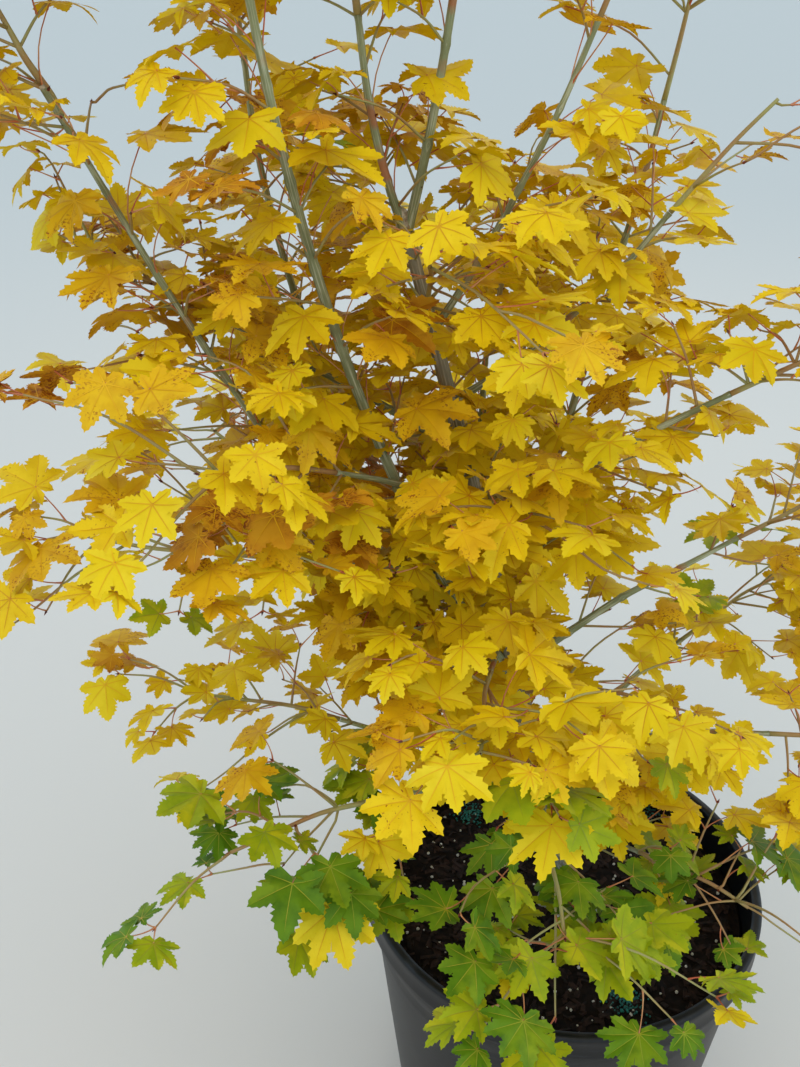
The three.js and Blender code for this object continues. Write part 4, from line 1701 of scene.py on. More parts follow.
BARED = (  # limbs that show through the foliage: name, from and to as shares of their length
    ("trunk", 0.93, 1.0),
    ("stem_front_left", 0.58, 1.0),
    ("fork_left", 0.0, 1.0),
    ("fork_right", 0.0, 1.0),
    ("stem_left", 0.7, 1.0),
    ("stem_right", 0.4, 0.9),
)
GAPS = {  # where the tree is seen open: x and z in the plane of the trunk, and a radius
    "between the standing stems": (
        (-440, 1290, 25), (-85, 1325, 25), (45, 1335, 40), (100, 1300, 35), (-420, 1355, 25),
        (-115, 1355, 25), (-115, 1305, 15), (-495, 1330, 15), (-270, 1350, 20),
    ),
    "left flank": (
        (-520, 1130, 30), (-515, 1000, 20), (-500, 1100, 20), (-540, 1165, 20), (-400, 990, 15),
        (-415, 965, 15), (-440, 925, 15), (-450, 825, 20), (-435, 795, 15), (-535, 840, 15),
        (-430, 725, 15), (-620, 720, 20), (-550, 750, 20),
    ),
    "right flank": (
        (115, 1170, 30), (170, 1040, 25), (100, 965, 15), (65, 870, 20), (135, 825, 15),
        (175, 795, 25), (50, 795, 15), (-15, 795, 15), (20, 745, 20), (110, 705, 20),
        (35, 685, 20), (155, 685, 15), (235, 585, 20),
    ),
    "low on the left": (
        (-600, 635, 50), (-410, 600, 25), (-310, 610, 15), (-530, 600, 15), (-555, 545, 20),
        (-295, 530, 15), (-205, 545, 15), (-350, 670, 15), (-480, 430, 20), (-380, 410, 15),
        (-505, 370, 15), (-585, 305, 20), (-390, 305, 20), (-405, 260, 20),
    ),
    "over the pot": (
        (-130, 480, 20), (-105, 490, 20), (-145, 430, 15), (45, 410, 15), (215, 370, 20),
        (185, 350, 25), (300, 305, 50), (270, 215, 20), (290, 165, 15), (220, 115, 20),
        (25, 115, 20), (180, 40, 15),
    ),
}
FILLING = {  # stray sprays on a limb: at what share of it, where the spray's tip is, and its pairs
    "leaves_front_low": (
        (1.0, (-120, -290, 490), 3), (1.0, (60, -295, 515), 2), (1.0, (100, -290, 540), 2),
        (1.0, (-30, -265, 515), 2),
    ),
    "leaves_right_low": (
        (0.2, (235, 0, 670), 3), (0.2, (210, 0, 655), 2), (0.1, (225, -75, 585), 2),
        (0.25, (250, -30, 595), 3),
    ),
    "leaves_right_upper": (
        (0.1, (95, -35, 1100), 3), (0.1, (115, -40, 1100), 2), (0.1, (70, -35, 1075), 2),
        (0.35, (145, 30, 1080), 3),
    ),
    "leaves_front_left_low": (
        (0.75, (-275, -150, 605), 3), (1.0, (-470, -240, 570), 2), (0.55, (-250, -200, 555), 3),
        (1.0, (-315, -155, 605), 2), (1.0, (-435, -230, 565), 2), (0.55, (-270, -175, 570), 2),
    ),
    "leaves_left_middle": (
        (1.0, (-550, -35, 915), 3), (0.0, (-335, -50, 815), 2), (0.45, (-415, -65, 825), 2),
        (1.0, (-540, -80, 835), 2), (1.0, (-540, -45, 895), 2),
    ),
    "leaves_left_low": (
        (1.0, (-480, 20, 600), 2), (1.0, (-510, 65, 670), 2), (0.2, (-345, 30, 595), 2),
        (0.35, (-315, 90, 670), 2), (0.65, (-415, 65, 655), 2), (1.0, (-470, 15, 590), 2),
        (1.0, (-520, 50, 660), 2), (0.35, (-370, 40, 615), 2),
    ),
    "leaves_front_right_low": (
        (0.9, (225, -90, 575), 2), (0.45, (155, -60, 565), 2), (0.55, (160, -150, 480), 2),
        (0.75, (175, -100, 535), 2),
    ),
    "leaves_front_left_upper": ((1.0, (-490, -175, 1100), 2),),
    "leaves_left_upper": ((1.0, (-515, 75, 1210), 2), (0.65, (-410, 75, 1145), 2)),
    "bough_right_high": ((0.85, (85, 90, 1150), 2),),
    "bough_stem_left": ((0.75, (-485, -35, 1065), 2), (0.85, (-450, -20, 1105), 2)),
    "bough_front_left_low": ((0.9, (-190, -165, 535), 2),),
    "bough_fork_right": ((0.25, (-150, 95, 1320), 2),),
    "bough_stem_right": ((0.55, (-60, 95, 1250), 2),),
    "bough_right_upper": ((0.9, (50, -15, 1100), 2),),
}


SPARSE = {  # masses whose sprays stand apart: how many of the shoots they keep
    "front_left_low": 0.6,
    "left_low": 0.8,
    "back_left_low": 0.6,
    "right_low": 0.7,
    "left_middle": 0.75,
    "right_middle": 0.75,
    "stem_right": 0.8,
    "right_high": 0.8,
}
LEAVES_A_PIECE = 850
MOST_LEAVES = 9000  # that the crown has room to note
HANGING = ("front_low", "front_right_low", "front_left_low", "left_low")  # masses whose shoots hang


@dataclass
class Openings:
    """The gaps in the crown, as they are seen from in front and above."""

    seen_from: Point
    bared: Array  # points along the bared limbs
    bared_width: float = 24.0
    gaps: Array = field(init=False)  # their middles
    widths: Array = field(init=False)

    def __post_init__(self) -> None:
        """Gathers the gaps of every place."""
        discs = np.array([disc for group in GAPS.values() for disc in group], float)
        self.gaps = np.stack([discs[:, 0], np.zeros(len(discs)), discs[:, 1]], axis=1)
        self.widths = discs[:, 2]
    def near_ray(self, point: Point, ends: Array) -> tuple[Array, Array]:
        """Returns how far a point is from the rays to some ends, at their distance, and how deep it is.

        Args:
            point: the point.
            ends: where the rays end, one row each.

        Returns:
            The distances in millimetres, and the point's depth along each ray as a share.
        """
        rays = ends - self.seen_from
        depth = (rays @ (point - self.seen_from)) / np.sum(rays * rays, axis=1)
        off = np.linalg.norm(point - self.seen_from - rays * depth[:, None], axis=1)
        return off / np.maximum(depth, 0.05), depth

    def holds(self, leaf: Leaf) -> bool:
        """Tells whether a leaf would close an opening.

        Args:
            leaf: the leaf.

        Returns:
            True if it would.
        """
        off, depth = self.near_ray(leaf.centre(), self.bared)
        if ((off < self.bared_width) & (depth < 0.995)).any():
            return True
        off, _ = self.near_ray(leaf.centre(), self.gaps)
        return bool((off < self.widths + 0.3 * leaf.radius).any())


@dataclass
class Crown:
    """The whole of the foliage: the masses by the rule of the solids, carried on to real leaves."""

    trunk: Trunk
    boughs: list[Bough]
    masses: list[Mass] = field(default_factory=list)
    shoots: list[Shoot] = field(default_factory=list)
    leaves: list[Leaf] = field(default_factory=list)
    stream: Seeded = field(default_factory=lambda: Seeded(2024))
    reach_slack: float = 26.0  # how far a leaf's tip may stand off the solid that it belongs to
    spacing: float = 0.44  # of two leaves' radii: how near their middles may be
    layering: float = 2.4  # how much more a millimetre of height parts two leaves than one across
    grip: float = 7.0  # how near a shoot a side shoot's foot is, if it is that shoot's
    on_boughs: Triple = (45, 42, 0.85)  # to the first node, between nodes, and the chance of a shoot
    on_trunk: Triple = (260, 45, 0.85)
    on_masses: Triple = (25, 34, 0.7)
    hanging: float = 0.5  # how much the shoots of the hanging masses turn down
    spots: Array = field(default_factory=lambda: np.zeros((MOST_LEAVES, 4)))
    low: Point = field(default_factory=lambda: np.array(CAD_BOX[0]) / MM - 22)
    high: Point = field(default_factory=lambda: np.array(CAD_BOX[1]) / MM + 22)
    open: Openings = field(init=False)

    def lay_out(self) -> None:
        """Sets out the stems of the masses, in the order of the solids, and grows them."""
        for spec in TRUNK_SPRAYS:
            start = point_on(self.trunk.path, spec.at)
            path = limb_path(start, spec.azimuth, 0, spec.lean, spec.length)
            self.masses.append(Mass(spec.name, path, spec.length, spec.radii[0], len(self.masses)))
        for bough in self.boughs:
            spec = bough.spec
            path = bough.spray_path()
            self.masses.append(Mass(spec.name, path, spec.spray_length, spec.radii[1], len(self.masses)))
        for mass in self.masses:
            mass.grow()
            LOG.info("mass %s: %d large leaves", mass.name, len(mass.fans))
        self.open = self.openings()

    def openings(self) -> Openings:
        """Gathers the points of the bared limbs.

        Returns:
            The openings.
        """
        limbs = {bough.spec.name: bough.path for bough in self.boughs}
        limbs["trunk"] = self.trunk.path
        points = [
            point_on(limbs[name], share)
            for name, first, last in BARED
            for share in np.linspace(first, last, 40)
        ]
        stems = {mass.name: mass.path for mass in self.masses}
        bare_tips = ("stem_front_left", "fork_left")
        points += [point_on(stems[name], share) for name in bare_tips for share in (0, 0.2, 0.4, 0.6)]
        return Openings(np.array(STUDIO.eye) / MM, np.array(points))

    def is_crowded(self, leaf: Leaf) -> bool:
        """Tells whether a leaf would lie in one that is there already.

        Args:
            leaf: the leaf.

        Returns:
            True if it would.
        """
        there = self.spots[: len(self.leaves)]
        apart = (there[:, :3] - leaf.centre()) * np.array([1, 1, self.layering])
        return bool((np.linalg.norm(apart, axis=1) < self.spacing * (there[:, 3] + leaf.radius)).any())

    def may_add(self, leaf: Leaf) -> bool:
        """Returns whether a leaf has room, and closes no opening."""
        return self.is_free(leaf) and not self.is_crowded(leaf) and not self.open.holds(leaf)

    def add_leaf(self, leaf: Leaf) -> None:
        """Adds a leaf."""
        self.spots[len(self.leaves)] = [*leaf.centre(), leaf.radius]
        self.leaves.append(leaf)

    def is_free(self, leaf: Leaf) -> bool:
        """Tells whether a leaf keeps inside the box and clear of the pot and its compost.

        Args:
            leaf: the leaf.

        Returns:
            True if it does.
        """
        for tip in (leaf.seat, *leaf.tips()):
            if (tip < self.low).any() or (tip > self.high).any():
                return False
            if math.hypot(tip[0], tip[1]) < POT.rim_radius + 6 and tip[2] < POT.height + 6:
                return False
        return True

    def add_shoot(self, shoot: Shoot, fits: Callable[[Leaf], bool]) -> None:
        """Keeps a shoot, with those of its leaves that fit where they belong.

        Args:
            shoot: the shoot.
            fits: tells whether a leaf belongs there.
        """
        wanted = [leaf for leaf in shoot.leaves(self.stream) if fits(leaf) and self.may_add(leaf)]
        if len(wanted) > 1:
            for leaf in wanted:
                if not self.is_crowded(leaf):
                    self.add_leaf(leaf)
                    shoot.bare = min(shoot.bare, leaf.back)
        self.shoots.append(shoot)

    def carry_on(self, mass: Mass) -> None:
        """Turns each large leaf of a mass into a leafy shoot inside that leaf's reach.

        Args:
            mass: the mass.
        """
        sparse = mass.name in SPARSE
        for fan in mass.fans:
            _, ahead, _ = fan.frame()
            seat = fan.seat()
            shorn = mass.name == PRUNED and seat[0] > BARE_SIDE[0] and seat[2] > BARE_SIDE[1]
            bow = UP * 0.05 * fan.stalk
            tip = seat + unit(ahead + fan.away * 0.8) * self.stream.between(30, 44)
            path = [fan.root, fan.root + fan.away * fan.stalk * 0.55 + bow, seat, tip]
            shoot = Shoot(
                list(smoothed(path, 3)),
                (max(fan.thick, 1.3), 0.9),
                spray_tint(seat, self.stream),
                (2 if fan.stalk > 70 else 1) if sparse else (4 if fan.stalk > 70 else 3),
                self.stream.between(27, 35) * (1.5 if sparse else 1),
                self.stream.between(46, 58),
            )
            self.add_shoot(
                shoot,
                lambda leaf: not shorn and all(mass.holds(tip, self.reach_slack) for tip in leaf.tips()),
            )

    def side_shoot(
        self, node: Point, along: Point, out: Point, length: float, pairs: int, droop: float
    ) -> None:
        """Adds a short shoot that leaves a limb's node at a slant and levels out, or hangs.

        Args:
            node: the limb's node.
            along: the limb's direction there.
            out: the side that it leaves to.
            length: its length.
            pairs: its pairs of leaves.
            droop: how much it turns down.
        """
        slant = math.radians(self.stream.between(42, 62))
        way = along * math.cos(slant) + out * math.sin(slant)
        way = unit(way * np.array([1, 1, 0.62]) + UP * (0.12 - droop * 0.4))
        flat = unit(way * np.array([1, 1, 0.5]) + UP * (self.stream.between(-0.08, 0.12) - droop))
        middle = node + way * length * 0.5
        path = [node, middle, middle + flat * length * 0.5]
        tint = spray_tint(path[-1], self.stream)
        gap = self.stream.between(26, 34)
        shoot = Shoot(list(smoothed(path, 4)), (1.5, 0.9), tint, pairs, gap, self.stream.between(42, 54))
        self.add_shoot(shoot, lambda leaf: True)

    def stem_pair(self, node: Point, along: Point, out: Point, tint: Tint) -> None:
        """Adds a pair of large leaves straight on a standing stem, on long stalks that hug it.

        Args:
            node: the stem's node.
            along: the stem's direction there.
            out: the side of the first leaf; the other one is across from it.
            tint: the pair's tint.
        """
        for sign in (1, -1):
            slant = math.radians(self.stream.between(12, 24))
            way = unit(along * math.cos(slant) + out * sign * math.sin(slant))
            facing = turned(levelled(out * sign + UP * 1e-6), UP, math.radians(self.stream.between(-50, 50)))
            stalk = self.stream.between(58, 88)
            seat = node + unit(way * 0.85 + facing * 0.4) * stalk
            pitch, roll = blade_angles(seat[2], self.stream)
            radius = self.stream.between(38, 58)
            leaf = Leaf(node, way, seat, facing, pitch, roll, radius, neighbour_tint(tint, self.stream))
            if self.may_add(leaf):
                self.add_leaf(leaf)

    def clothe(
        self, path: Path, upright: bool, spacing: Triple, keep: float = 1.0, hanging: float = 0.0
    ) -> None:
        """Sets crossed pairs of leaves and short shoots on the nodes of a limb.

        Args:
            path: the limb's nodes.
            upright: whether it is a standing stem.
            spacing: as in on_boughs.
            keep: the share of the shoots that stay.
            hanging: how much the shoots turn down.
        """
        first, step, chance = spacing
        length = length_of(path)
        phase = self.stream.between(0, 90)
        for i, far in enumerate(np.arange(first, length, step)):
            share = far / length
            node, along = point_on(path, share), direction_on(path, share)
            across, over = crossways(along)
            angle = math.radians(phase + 90 * i)
            out = across * math.cos(angle) + over * math.sin(angle)
            if upright:
                self.stem_pair(node, along, out, spray_tint(node, self.stream))
            for sign in (1, -1):
                if self.stream.draw() < chance * keep:
                    side = turned(out * sign, along, math.radians(90 if upright else 0))
                    size = self.stream.between(60, 125) * (1.15 - 0.5 * share)
                    self.side_shoot(node, along, side, size, 2 if size < 75 else 3, hanging)

    def grow(self) -> None:
        """Grows every leaf of the crown."""
        for mass in self.masses:
            self.carry_on(mass)
        for bough in self.boughs:
            self.clothe(bough.path, bough.is_upright(), self.on_boughs, SPARSE.get(bough.spec.name, 1))
        self.clothe(self.trunk.path, True, self.on_trunk)
        for mass in self.masses:
            upright, keep = mass.name.startswith(UPRIGHT), SPARSE.get(mass.name, 1)
            hanging = self.hanging if mass.name in HANGING else 0.0
            self.clothe(mass.path, upright, self.on_masses, keep, hanging)
        self.fill()
        self.prune()
        LOG.info("%d leaves on %d shoots", len(self.leaves), len(self.shoots))

    def prune(self) -> None:
        """Cuts each shoot back to the last leaf or side shoot that it bears, and sets side shoots on it."""
        kept: list[Shoot] = []
        for shoot in reversed(self.shoots):
            borne = [other for other in kept if np.linalg.norm(other.path[0] - shoot.path[-1]) < shoot.span()]
            for other in borne:
                off, back = shoot.nearest(other.path[0])
                if off < self.grip:
                    other.path[0] = shoot.at(back)[0]
                    shoot.bare = min(shoot.bare, back)
            if shoot.bare < shoot.span():
                kept.append(shoot)
        self.shoots = [shoot.trimmed(shoot.bare) for shoot in reversed(kept)]

    def fill(self) -> None:
        """Adds the stray sprays, each on a slightly bowed shoot from its limb."""
        limbs = {"bough_" + bough.spec.name: bough.path for bough in self.boughs}
        limbs |= {mass.node(): mass.path for mass in self.masses}
        sprays = ((limb, *spray) for limb, group in FILLING.items() for spray in group)
        for name, share, place, pairs in sprays:
            node, tip = point_on(limbs[name], share), np.array(place, float)
            bow = UP * 0.1 * float(np.linalg.norm(tip - node))
            tint, gap = spray_tint(tip, self.stream), self.stream.between(28, 36)
            curve = list(smoothed([node, (node + tip) / 2 + bow, tip], 5))
            shoot = Shoot(curve, (1.6, 0.9), tint, pairs, gap, self.stream.between(42, 54))
            self.add_shoot(shoot, lambda leaf: True)

    def build(self) -> None:
        """Makes the twigs, stalks, buds and blades, each kind a joined piece."""
        nodes = [mass.node() for mass in self.masses]
        twigs = Sheaf("twigs")
        for mass in self.masses:
            self.add_twig(twigs, smoothed(self.stem_path(mass), 4), (mass.radius, STEM_TIP_RADIUS - 1.2), 8)
        for shoot in self.shoots:
            self.add_twig(twigs, np.array(shoot.path), shoot.radii, 5)
        twigs.piece(TWIG_SKIN, "bark", nodes)
        self.buds().piece(BUD_SCALE, "bark", [], smooth=False)
        press = Press()
        press.stalks(self.leaves, "leaf_stalks").piece(STALK_SKIN, "foliage", nodes)
        for tint in Tint:
            chosen = [leaf for leaf in self.leaves if leaf.tint is tint]
            LOG.info("%s: %d leaves", tint.name, len(chosen))
            for start in range(0, len(chosen), LEAVES_A_PIECE):
                name = f"blades_{tint.name.lower()}_{start // LEAVES_A_PIECE + 1}"
                press.blades(chosen[start : start + LEAVES_A_PIECE], name).piece(tint.value, "foliage", nodes)
        for green, sheaf in press.ribs.items():
            sheaf.piece(GREEN_RIB if green else GOLD_RIB, "foliage", nodes)

    def bearing_share(self, mass: Mass) -> float:
        """Finds how far along its stem a mass still bears a leaf or a shoot.

        Args:
            mass: the mass.

        Returns:
            The share of its stem.
        """
        feet = np.array([shoot.path[0] for shoot in self.shoots] + [leaf.node for leaf in self.leaves])
        for share in np.linspace(1, 0.2, 41):
            if (np.linalg.norm(feet - point_on(mass.path, share), axis=1) < self.grip).any():
                return float(share)
        return 0.2

    def stem_path(self, mass: Mass) -> Path:
        """Sets out a mass's stem; past the pruning cut it leaves from the old stem's side.

        Args:
            mass: the mass.

        Returns:
            The stem's nodes.
        """
        end = self.bearing_share(mass)
        if mass.name != PRUNED:
            return [point_on(mass.path, share) for share in np.linspace(0, end, 4)]
        along = direction_on(mass.path, CUT_AT)
        side = crossways(along)[0]
        start = point_on(mass.path, CUT_AT) - along * 24
        rest = [point_on(mass.path, share) for share in np.linspace(CUT_AT + 0.14, max(end, CUT_AT + 0.2), 4)]
        return [start, start + along * 16 + side * 9, *rest]

    @staticmethod
    def add_twig(sheaf: Sheaf, curve: Array, radii: Pair, sides: int) -> None:
        """Adds a twig that tapers evenly along its curve.

        Args:
            sheaf: what it is added to.
            curve: its points.
            radii: at its start and its end.
            sides: how many it has.
        """
        length = float(np.linalg.norm(np.diff(curve, axis=0), axis=1).sum())
        tube = Tube(curve, sides, lambda far, angles: np.full(len(angles), lerp(*radii, far / length)))
        sheaf.add(*tube.shape()[:2])

    def buds(self) -> Sheaf:
        """Makes the winter bud at the tip of each shoot.

        Returns:
            The sheaf of buds.
        """
        sheaf = Sheaf("buds")
        faces = [[0, 1, 2], [0, 2, 3], [0, 3, 4], [0, 4, 1], [5, 2, 1], [5, 3, 2], [5, 4, 3], [5, 1, 4]]
        for shoot in self.shoots:
            tip, along = shoot.at(0)
            across, over = crossways(along)
            belt = tip + along * 1.5
            ring = [belt + across * 1.5, belt + over * 1.5, belt - across * 1.5, belt - over * 1.5]
            sheaf.add(np.array([tip + along * 6, *ring, tip - along * 1]), np.array(faces))
        return sheaf


# Pot and compost


@dataclass
class Pot:
    """The round nursery pot: a flared wall with two grooves, and a thick rolled rim."""

    height: float = 400
    rim_radius: float = 240
    foot_radius: float = 192
    wall: float = 3.5
    floor: float = 4
    band: float = 34
    stands_out: float = 9
    rounding: float = 5
    sides: int = 160
    out_of_round: float = 2.2  # a soft pot of this size is never quite round

    def neck(self) -> float:
        """Returns the outer radius just under the rim band."""
        return self.rim_radius - self.stands_out

    def inside(self, height: float) -> float:
        """Returns the inner radius at a height."""
        return lerp(self.foot_radius, self.neck(), height / (self.height - self.band)) - self.wall

    def wall_points(self) -> list[Pair]:
        """Draws the outer wall's profile, from the foot up, with its step and two grooves.

        Returns:
            Radius and height of each point.
        """
        top = self.height - self.band
        points = [(0, 0), (self.foot_radius - self.rounding, 0), (self.foot_radius - 1.5, 1.5)]
        for share in np.linspace(0.014, 1, 40):
            groove = sum(1.6 * math.exp(-(((share - at) / 0.008) ** 2)) for at in (0.86, 0.9))
            step = 1.4 * max(0.0, min(1.0, (0.12 - share) / 0.01))
            points.append((lerp(self.foot_radius, self.neck(), share) - groove - step, share * top))
        return points

    def rim_points(self) -> list[Pair]:
        """Draws the rim's profile: out over the band, round its lip and down inside.

        Returns:
            Radius and height of each point.
        """
        top, lip = self.height, self.rounding
        throat = self.inside(self.height - self.band)
        points = [(self.rim_radius - 1.5, top - self.band - 0.4), (self.rim_radius, top - self.band + 1.6)]
        points += [(self.rim_radius - 0.9 * math.sin(math.pi * s), top - lerp(self.band - 3, lip, s))
                   for s in np.linspace(0.1, 1, 6)]
        points += [(self.rim_radius - lip * (1 - math.cos(a)), top - lip * (1 - math.sin(a)))
                   for a in np.linspace(0.3, math.pi / 2, 5)]
        points += [(throat + lip * (1 - math.sin(a)), top - lip * (1 - math.cos(a)))
                   for a in np.linspace(0, math.pi / 2, 6)]
        points += [(throat, top - self.band + 4), (throat, top - self.band)]
        return points

    def build(self) -> None:
        """Makes the shell and dresses it."""
        profile = self.wall_points() + self.rim_points()
        inner = [self.height - self.band - 30, SOIL.edge_height() - 20, self.floor]
        profile += [(self.inside(h), h) for h in inner] + [(0, self.floor)]
        rows = np.array(profile)
        angles = np.arange(self.sides) / self.sides * 2 * math.pi
        points = []
        for radius, height in rows:
            soft = self.out_of_round * (height / self.height) ** 2 * min(radius / self.foot_radius, 1)
            bulge = radius - soft + soft * np.cos(2 * angles + 0.7)
            x, y = bulge * np.cos(angles), bulge * np.sin(angles)
            points.append(np.stack([x, y, np.full(self.sides, height)], 1))
        shell = mesh_object("pot_shell", np.vstack(points), ring_faces(len(rows), self.sides, False, False))
        dress(shell, POT_PLASTIC, ["pot"])


@dataclass
class Soil:
    """The compost: a lumpy bed of bark, with chips, perlite and granules of feed strewn over it."""

    top: float = 356
    flat_radius: float = 46
    fall: float = 9
    rings: int = 90
    sides: int = 220
    chips: int = 1500
    perlite: int = 260
    granules: int = 150  # on each spot
    feed_spots: tuple[Pair, ...] = ((-101, 147), (136, 152), (60, -150))
    chip_sizes: tuple[Pair, ...] = ((5, 20), (2.5, 7), (0.8, 2.4))
    buried: float = 40  # how far the bed's skirt goes down inside the wall
    stream: np.random.Generator = field(default_factory=lambda: np.random.default_rng(77))

    def edge_height(self) -> float:
        """Returns the height of the bed at the pot's wall."""
        return self.top - self.fall

    def edge_radius(self) -> float:
        """Returns the radius of the bed at the pot's wall."""
        return POT.inside(self.edge_height()) - 0.6 - POT.out_of_round

    def height(self, x: float, y: float) -> float:
        """Works out the bed's height at a place, lumps included.

        Args:
            x: to the right of the pot's middle.
            y: behind it.

        Returns:
            The height.
        """
        radius = math.hypot(x, y)
        share = min(max((radius - self.flat_radius) / (self.edge_radius() - self.flat_radius), 0), 1)
        lumps = noise.fractal(Vector((x / 26, y / 26, 3.1)), 0.8, 2.2, 4) * 3.2
        return self.top - self.fall * share**1.3 + min(lumps, 4.5) - 1.2

    def build(self) -> None:
        """Makes the bed and what lies on it."""
        angles = np.arange(self.sides) / self.sides * 2 * math.pi
        radii = np.linspace(0.5, self.edge_radius(), self.rings)
        points = [
            (r * math.cos(a), r * math.sin(a), self.height(r * math.cos(a), r * math.sin(a)))
            for r in radii
            for a in angles
        ]
        foot = self.edge_height() - self.buried
        skirt = POT.inside(foot) - 0.6 - POT.out_of_round
        points += [(skirt * math.cos(a), skirt * math.sin(a), foot) for a in angles] + [(0, 0, foot)]
        faces = ring_faces(self.rings + 1, self.sides, False, True)
        bed = mesh_object("compost_bed", np.array(points), faces)
        dress(bed, COMPOST, ["soil"])
        self.strew("bark_chips", self.chips, BARK_CHIP, self.chip)
        self.strew("perlite_grains", self.perlite, PERLITE, self.grain)
        self.build_feed()

    def strew(self, name: str, count: int, finish: Finish, make: Callable[[], Shape]) -> None:
        """Strews small things evenly over the bed, as one piece.

        Args:
            name: the piece's name.
            count: how many there are.
            finish: their finish.
            make: makes one of them.
        """
        sheaf = Sheaf(name)
        for _ in range(count):
            radius = (self.edge_radius() - 12) * math.sqrt(self.stream.uniform(0.01, 1))
            angle = self.stream.uniform(0, 2 * math.pi)
            x, y = radius * math.cos(angle), radius * math.sin(angle)
            points, faces = make()
            sheaf.add(points + np.array([x, y, self.height(x, y) + 0.8]), faces)
        sheaf.piece(finish, "compost", [], smooth=False)

    def tumbled(self, points: Array, tilt: float) -> Array:
        """Turns a small thing any way round and tilts it.

        Args:
            points: the thing's points.
            tilt: the most that it tilts, in degrees.

        Returns:
            The turned points.
        """
        spin, lean = self.stream.uniform(0, 2 * math.pi), math.radians(self.stream.uniform(-tilt, tilt))
        c, s = math.cos(spin), math.sin(spin)
        cl, sl = math.cos(lean), math.sin(lean)
        tip = np.array([[1, 0, 0], [0, cl, -sl], [0, sl, cl]])
        swing = np.array([[c, -s, 0], [s, c, 0], [0, 0, 1]])
        return points @ (swing @ tip).T

    def chip(self) -> Shape:
        """Makes one splinter of bark: a flat, torn slab with uneven ends.

        Returns:
            Its points and faces.
        """
        size = np.array([self.stream.uniform(*span) for span in self.chip_sizes])
        corners = np.array([[x, y, z] for x in (-0.5, 0.5) for y in (-0.5, 0.5) for z in (-0.5, 0.5)])
        corners = corners * (1 + self.stream.uniform(-0.35, 0.35, (8, 3)))
        faces = [[0, 1, 3], [0, 3, 2], [4, 6, 7], [4, 7, 5], [0, 4, 5], [0, 5, 1],
                 [2, 3, 7], [2, 7, 6], [0, 2, 6], [0, 6, 4], [1, 5, 7], [1, 7, 3]]
        return self.tumbled(corners * size, 28), np.array(faces)

    def grain(self, size: Pair = (1.0, 2.4), rough: float = 0.22) -> Shape:
        """Makes one rounded grain: an uneven ball of twenty faces.

        Args:
            size: its least and greatest radius.
            rough: how far a corner stands off the ball, as a share.

        Returns:
            Its points and faces.
        """
        g = (1 + math.sqrt(5)) / 2
        corners = np.array([[-1, g, 0], [1, g, 0], [-1, -g, 0], [1, -g, 0], [0, -1, g], [0, 1, g],
                            [0, -1, -g], [0, 1, -g], [g, 0, -1], [g, 0, 1], [-g, 0, -1], [-g, 0, 1]])
        corners = corners / math.hypot(1, g)
        faces = [[0, 11, 5], [0, 5, 1], [0, 1, 7], [0, 7, 10], [0, 10, 11], [1, 5, 9], [5, 11, 4],
                 [11, 10, 2], [10, 7, 6], [7, 1, 8], [3, 9, 4], [3, 4, 2], [3, 2, 6], [3, 6, 8],
                 [3, 8, 9], [4, 9, 5], [2, 4, 11], [6, 2, 10], [8, 6, 7], [9, 8, 1]]
        corners = corners * self.stream.uniform(*size) * (1 + self.stream.uniform(-rough, rough, (12, 1)))
        return self.tumbled(corners, 180), np.array(faces)

    def build_feed(self) -> None:
        """Makes the spots of coated granules where feed was spooned on."""
        sheaf = Sheaf("feed_granules")
        for centre_x, centre_y in self.feed_spots:
            for _ in range(self.granules):
                x, y = self.stream.normal((centre_x, centre_y), 11)
                points, faces = self.grain((1.2, 1.7), 0.04)
                sheaf.add(points + np.array([x, y, self.height(x, y) + 1.4]), faces)
        sheaf.piece(FEED, "compost", [])


POT = Pot()
SOIL = Soil()


# Studio


@dataclass(frozen=True)
class StudioFloor(Finish):
    """Matt pale board, painted: it shows soft shadows and nothing else."""

    tone: str = "#D8D3CC"

    def paint(self, tree: Tree) -> tuple[str, None]:
        """Returns the one plain colour, and no relief."""
        return self.tone, None


@dataclass(frozen=True)
class Lamp:
    """A square area lamp, turned to the middle of the crown. Metres and watts."""

    name: str
    place: Triple
    size: float
    power: float
    colour: str


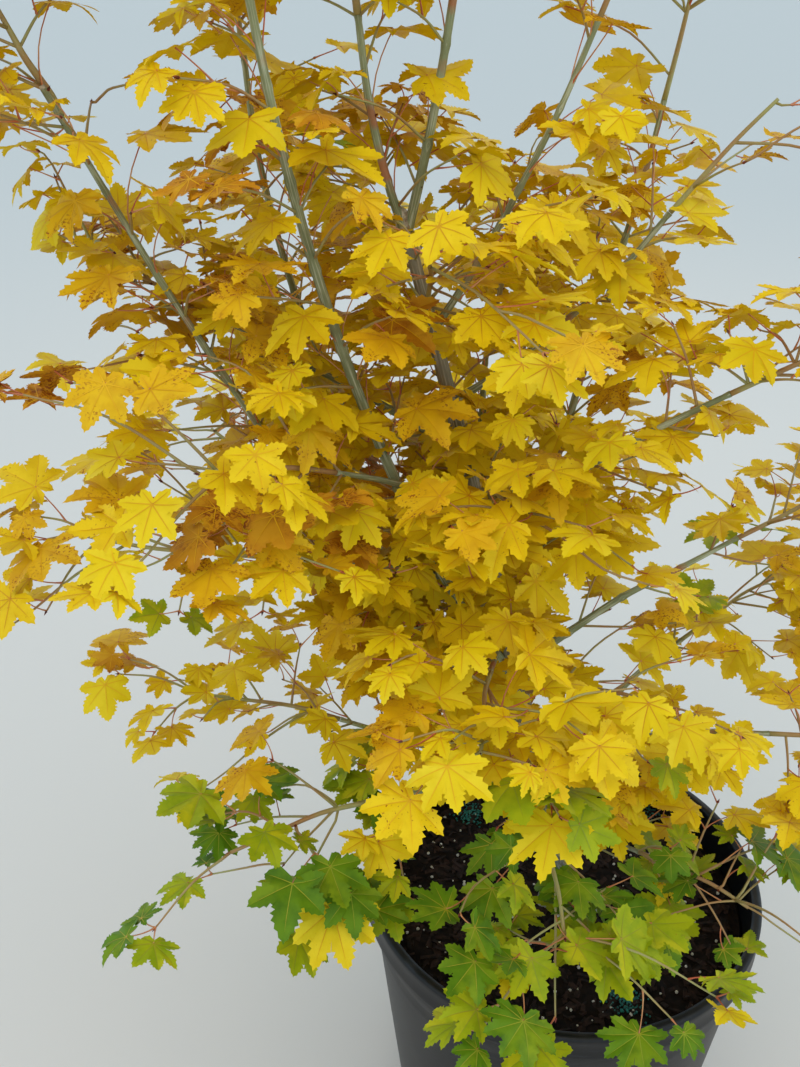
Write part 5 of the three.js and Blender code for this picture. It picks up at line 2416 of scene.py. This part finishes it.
@dataclass
class Studio:
    """The camera at the photograph's place, soft light all round, and a pale floor."""

    eye: Triple = (-0.197, -0.970, 1.431)
    pitch_down: float = 29.8
    focal_pixels: float = 1100
    image_height: float = 1067
    sensor: float = 36
    sky: str = "#D3E8F7"
    daylight: float = 1.12
    lit: Triple = (0, 0, 0.9)  # the middle of the crown
    lamps: tuple[Lamp, ...] = (
        Lamp("key", (-1.0, -1.9, 4.0), 3.2, 37, "#FFD2A0"),
        Lamp("fill", (2.8, -0.6, 2.6), 2.2, 13, "#FFE8CC"),
        Lamp("back", (0.6, 3.0, 3.4), 2.4, 15, "#FFE8CC"),
    )
    floor_half: float = 45000.0  # millimetres, so that the floor's edge is out of sight

    def build(self) -> None:
        """Sets up the camera, lamps, sky and floor."""
        lens = bpy.data.cameras.new("camera")
        lens.sensor_width = self.sensor
        lens.lens = self.sensor * self.focal_pixels / self.image_height
        camera = bpy.data.objects.new("camera", lens)
        camera.location = self.eye
        camera.rotation_euler = (math.radians(90 - self.pitch_down), 0, 0)
        bpy.context.scene.collection.objects.link(camera)
        bpy.context.scene.camera = camera
        bpy.context.scene.view_settings.view_transform = "Standard"
        self.light()
        self.lay_floor()

    def light(self) -> None:
        """Adds the sky and the lamps, each turned to the middle of the crown."""
        world = bpy.data.worlds.new("soft_sky")
        bpy.context.scene.world = world
        world.use_nodes = True
        tree = world.node_tree
        plug(tree, tree.nodes["Background"], {"Color": self.sky, "Strength": self.daylight})
        for lamp in self.lamps:
            light = bpy.data.lights.new(lamp.name, "AREA")
            light.size = lamp.size
            light.energy = lamp.power
            light.color = linear(lamp.colour)[:3]
            holder = bpy.data.objects.new(lamp.name, light)
            holder.location = lamp.place
            aim = Vector(self.lit) - Vector(lamp.place)
            holder.rotation_euler = aim.to_track_quat("-Z", "Y").to_euler()
            bpy.context.scene.collection.objects.link(holder)

    def lay_floor(self) -> None:
        """Lays the floor under the pot."""
        half = self.floor_half
        corners = np.array([[-half, -half, 0], [half, -half, 0], [half, half, 0], [-half, half, 0]])
        floor = mesh_object("studio_floor", corners, np.array([[0, 1, 2], [0, 2, 3]]))
        floor.data.materials.append(StudioFloor("painted_board", 0.85, specular=0.2).material())


STUDIO = Studio()


def main() -> None:
    """Builds the studio and the tree, piece by piece."""
    logging.basicConfig(level=logging.INFO, format="%(message)s")
    STUDIO.build()
    POT.build()
    SOIL.build()
    trunk = Trunk()
    trunk.build()
    boughs = [Bough(spec, trunk) for spec in BOUGHS]
    for bough in boughs:
        bough.build()
    crown = Crown(trunk, boughs)
    crown.lay_out()
    crown.grow()
    crown.build()


if __name__ == "__main__":
    main()
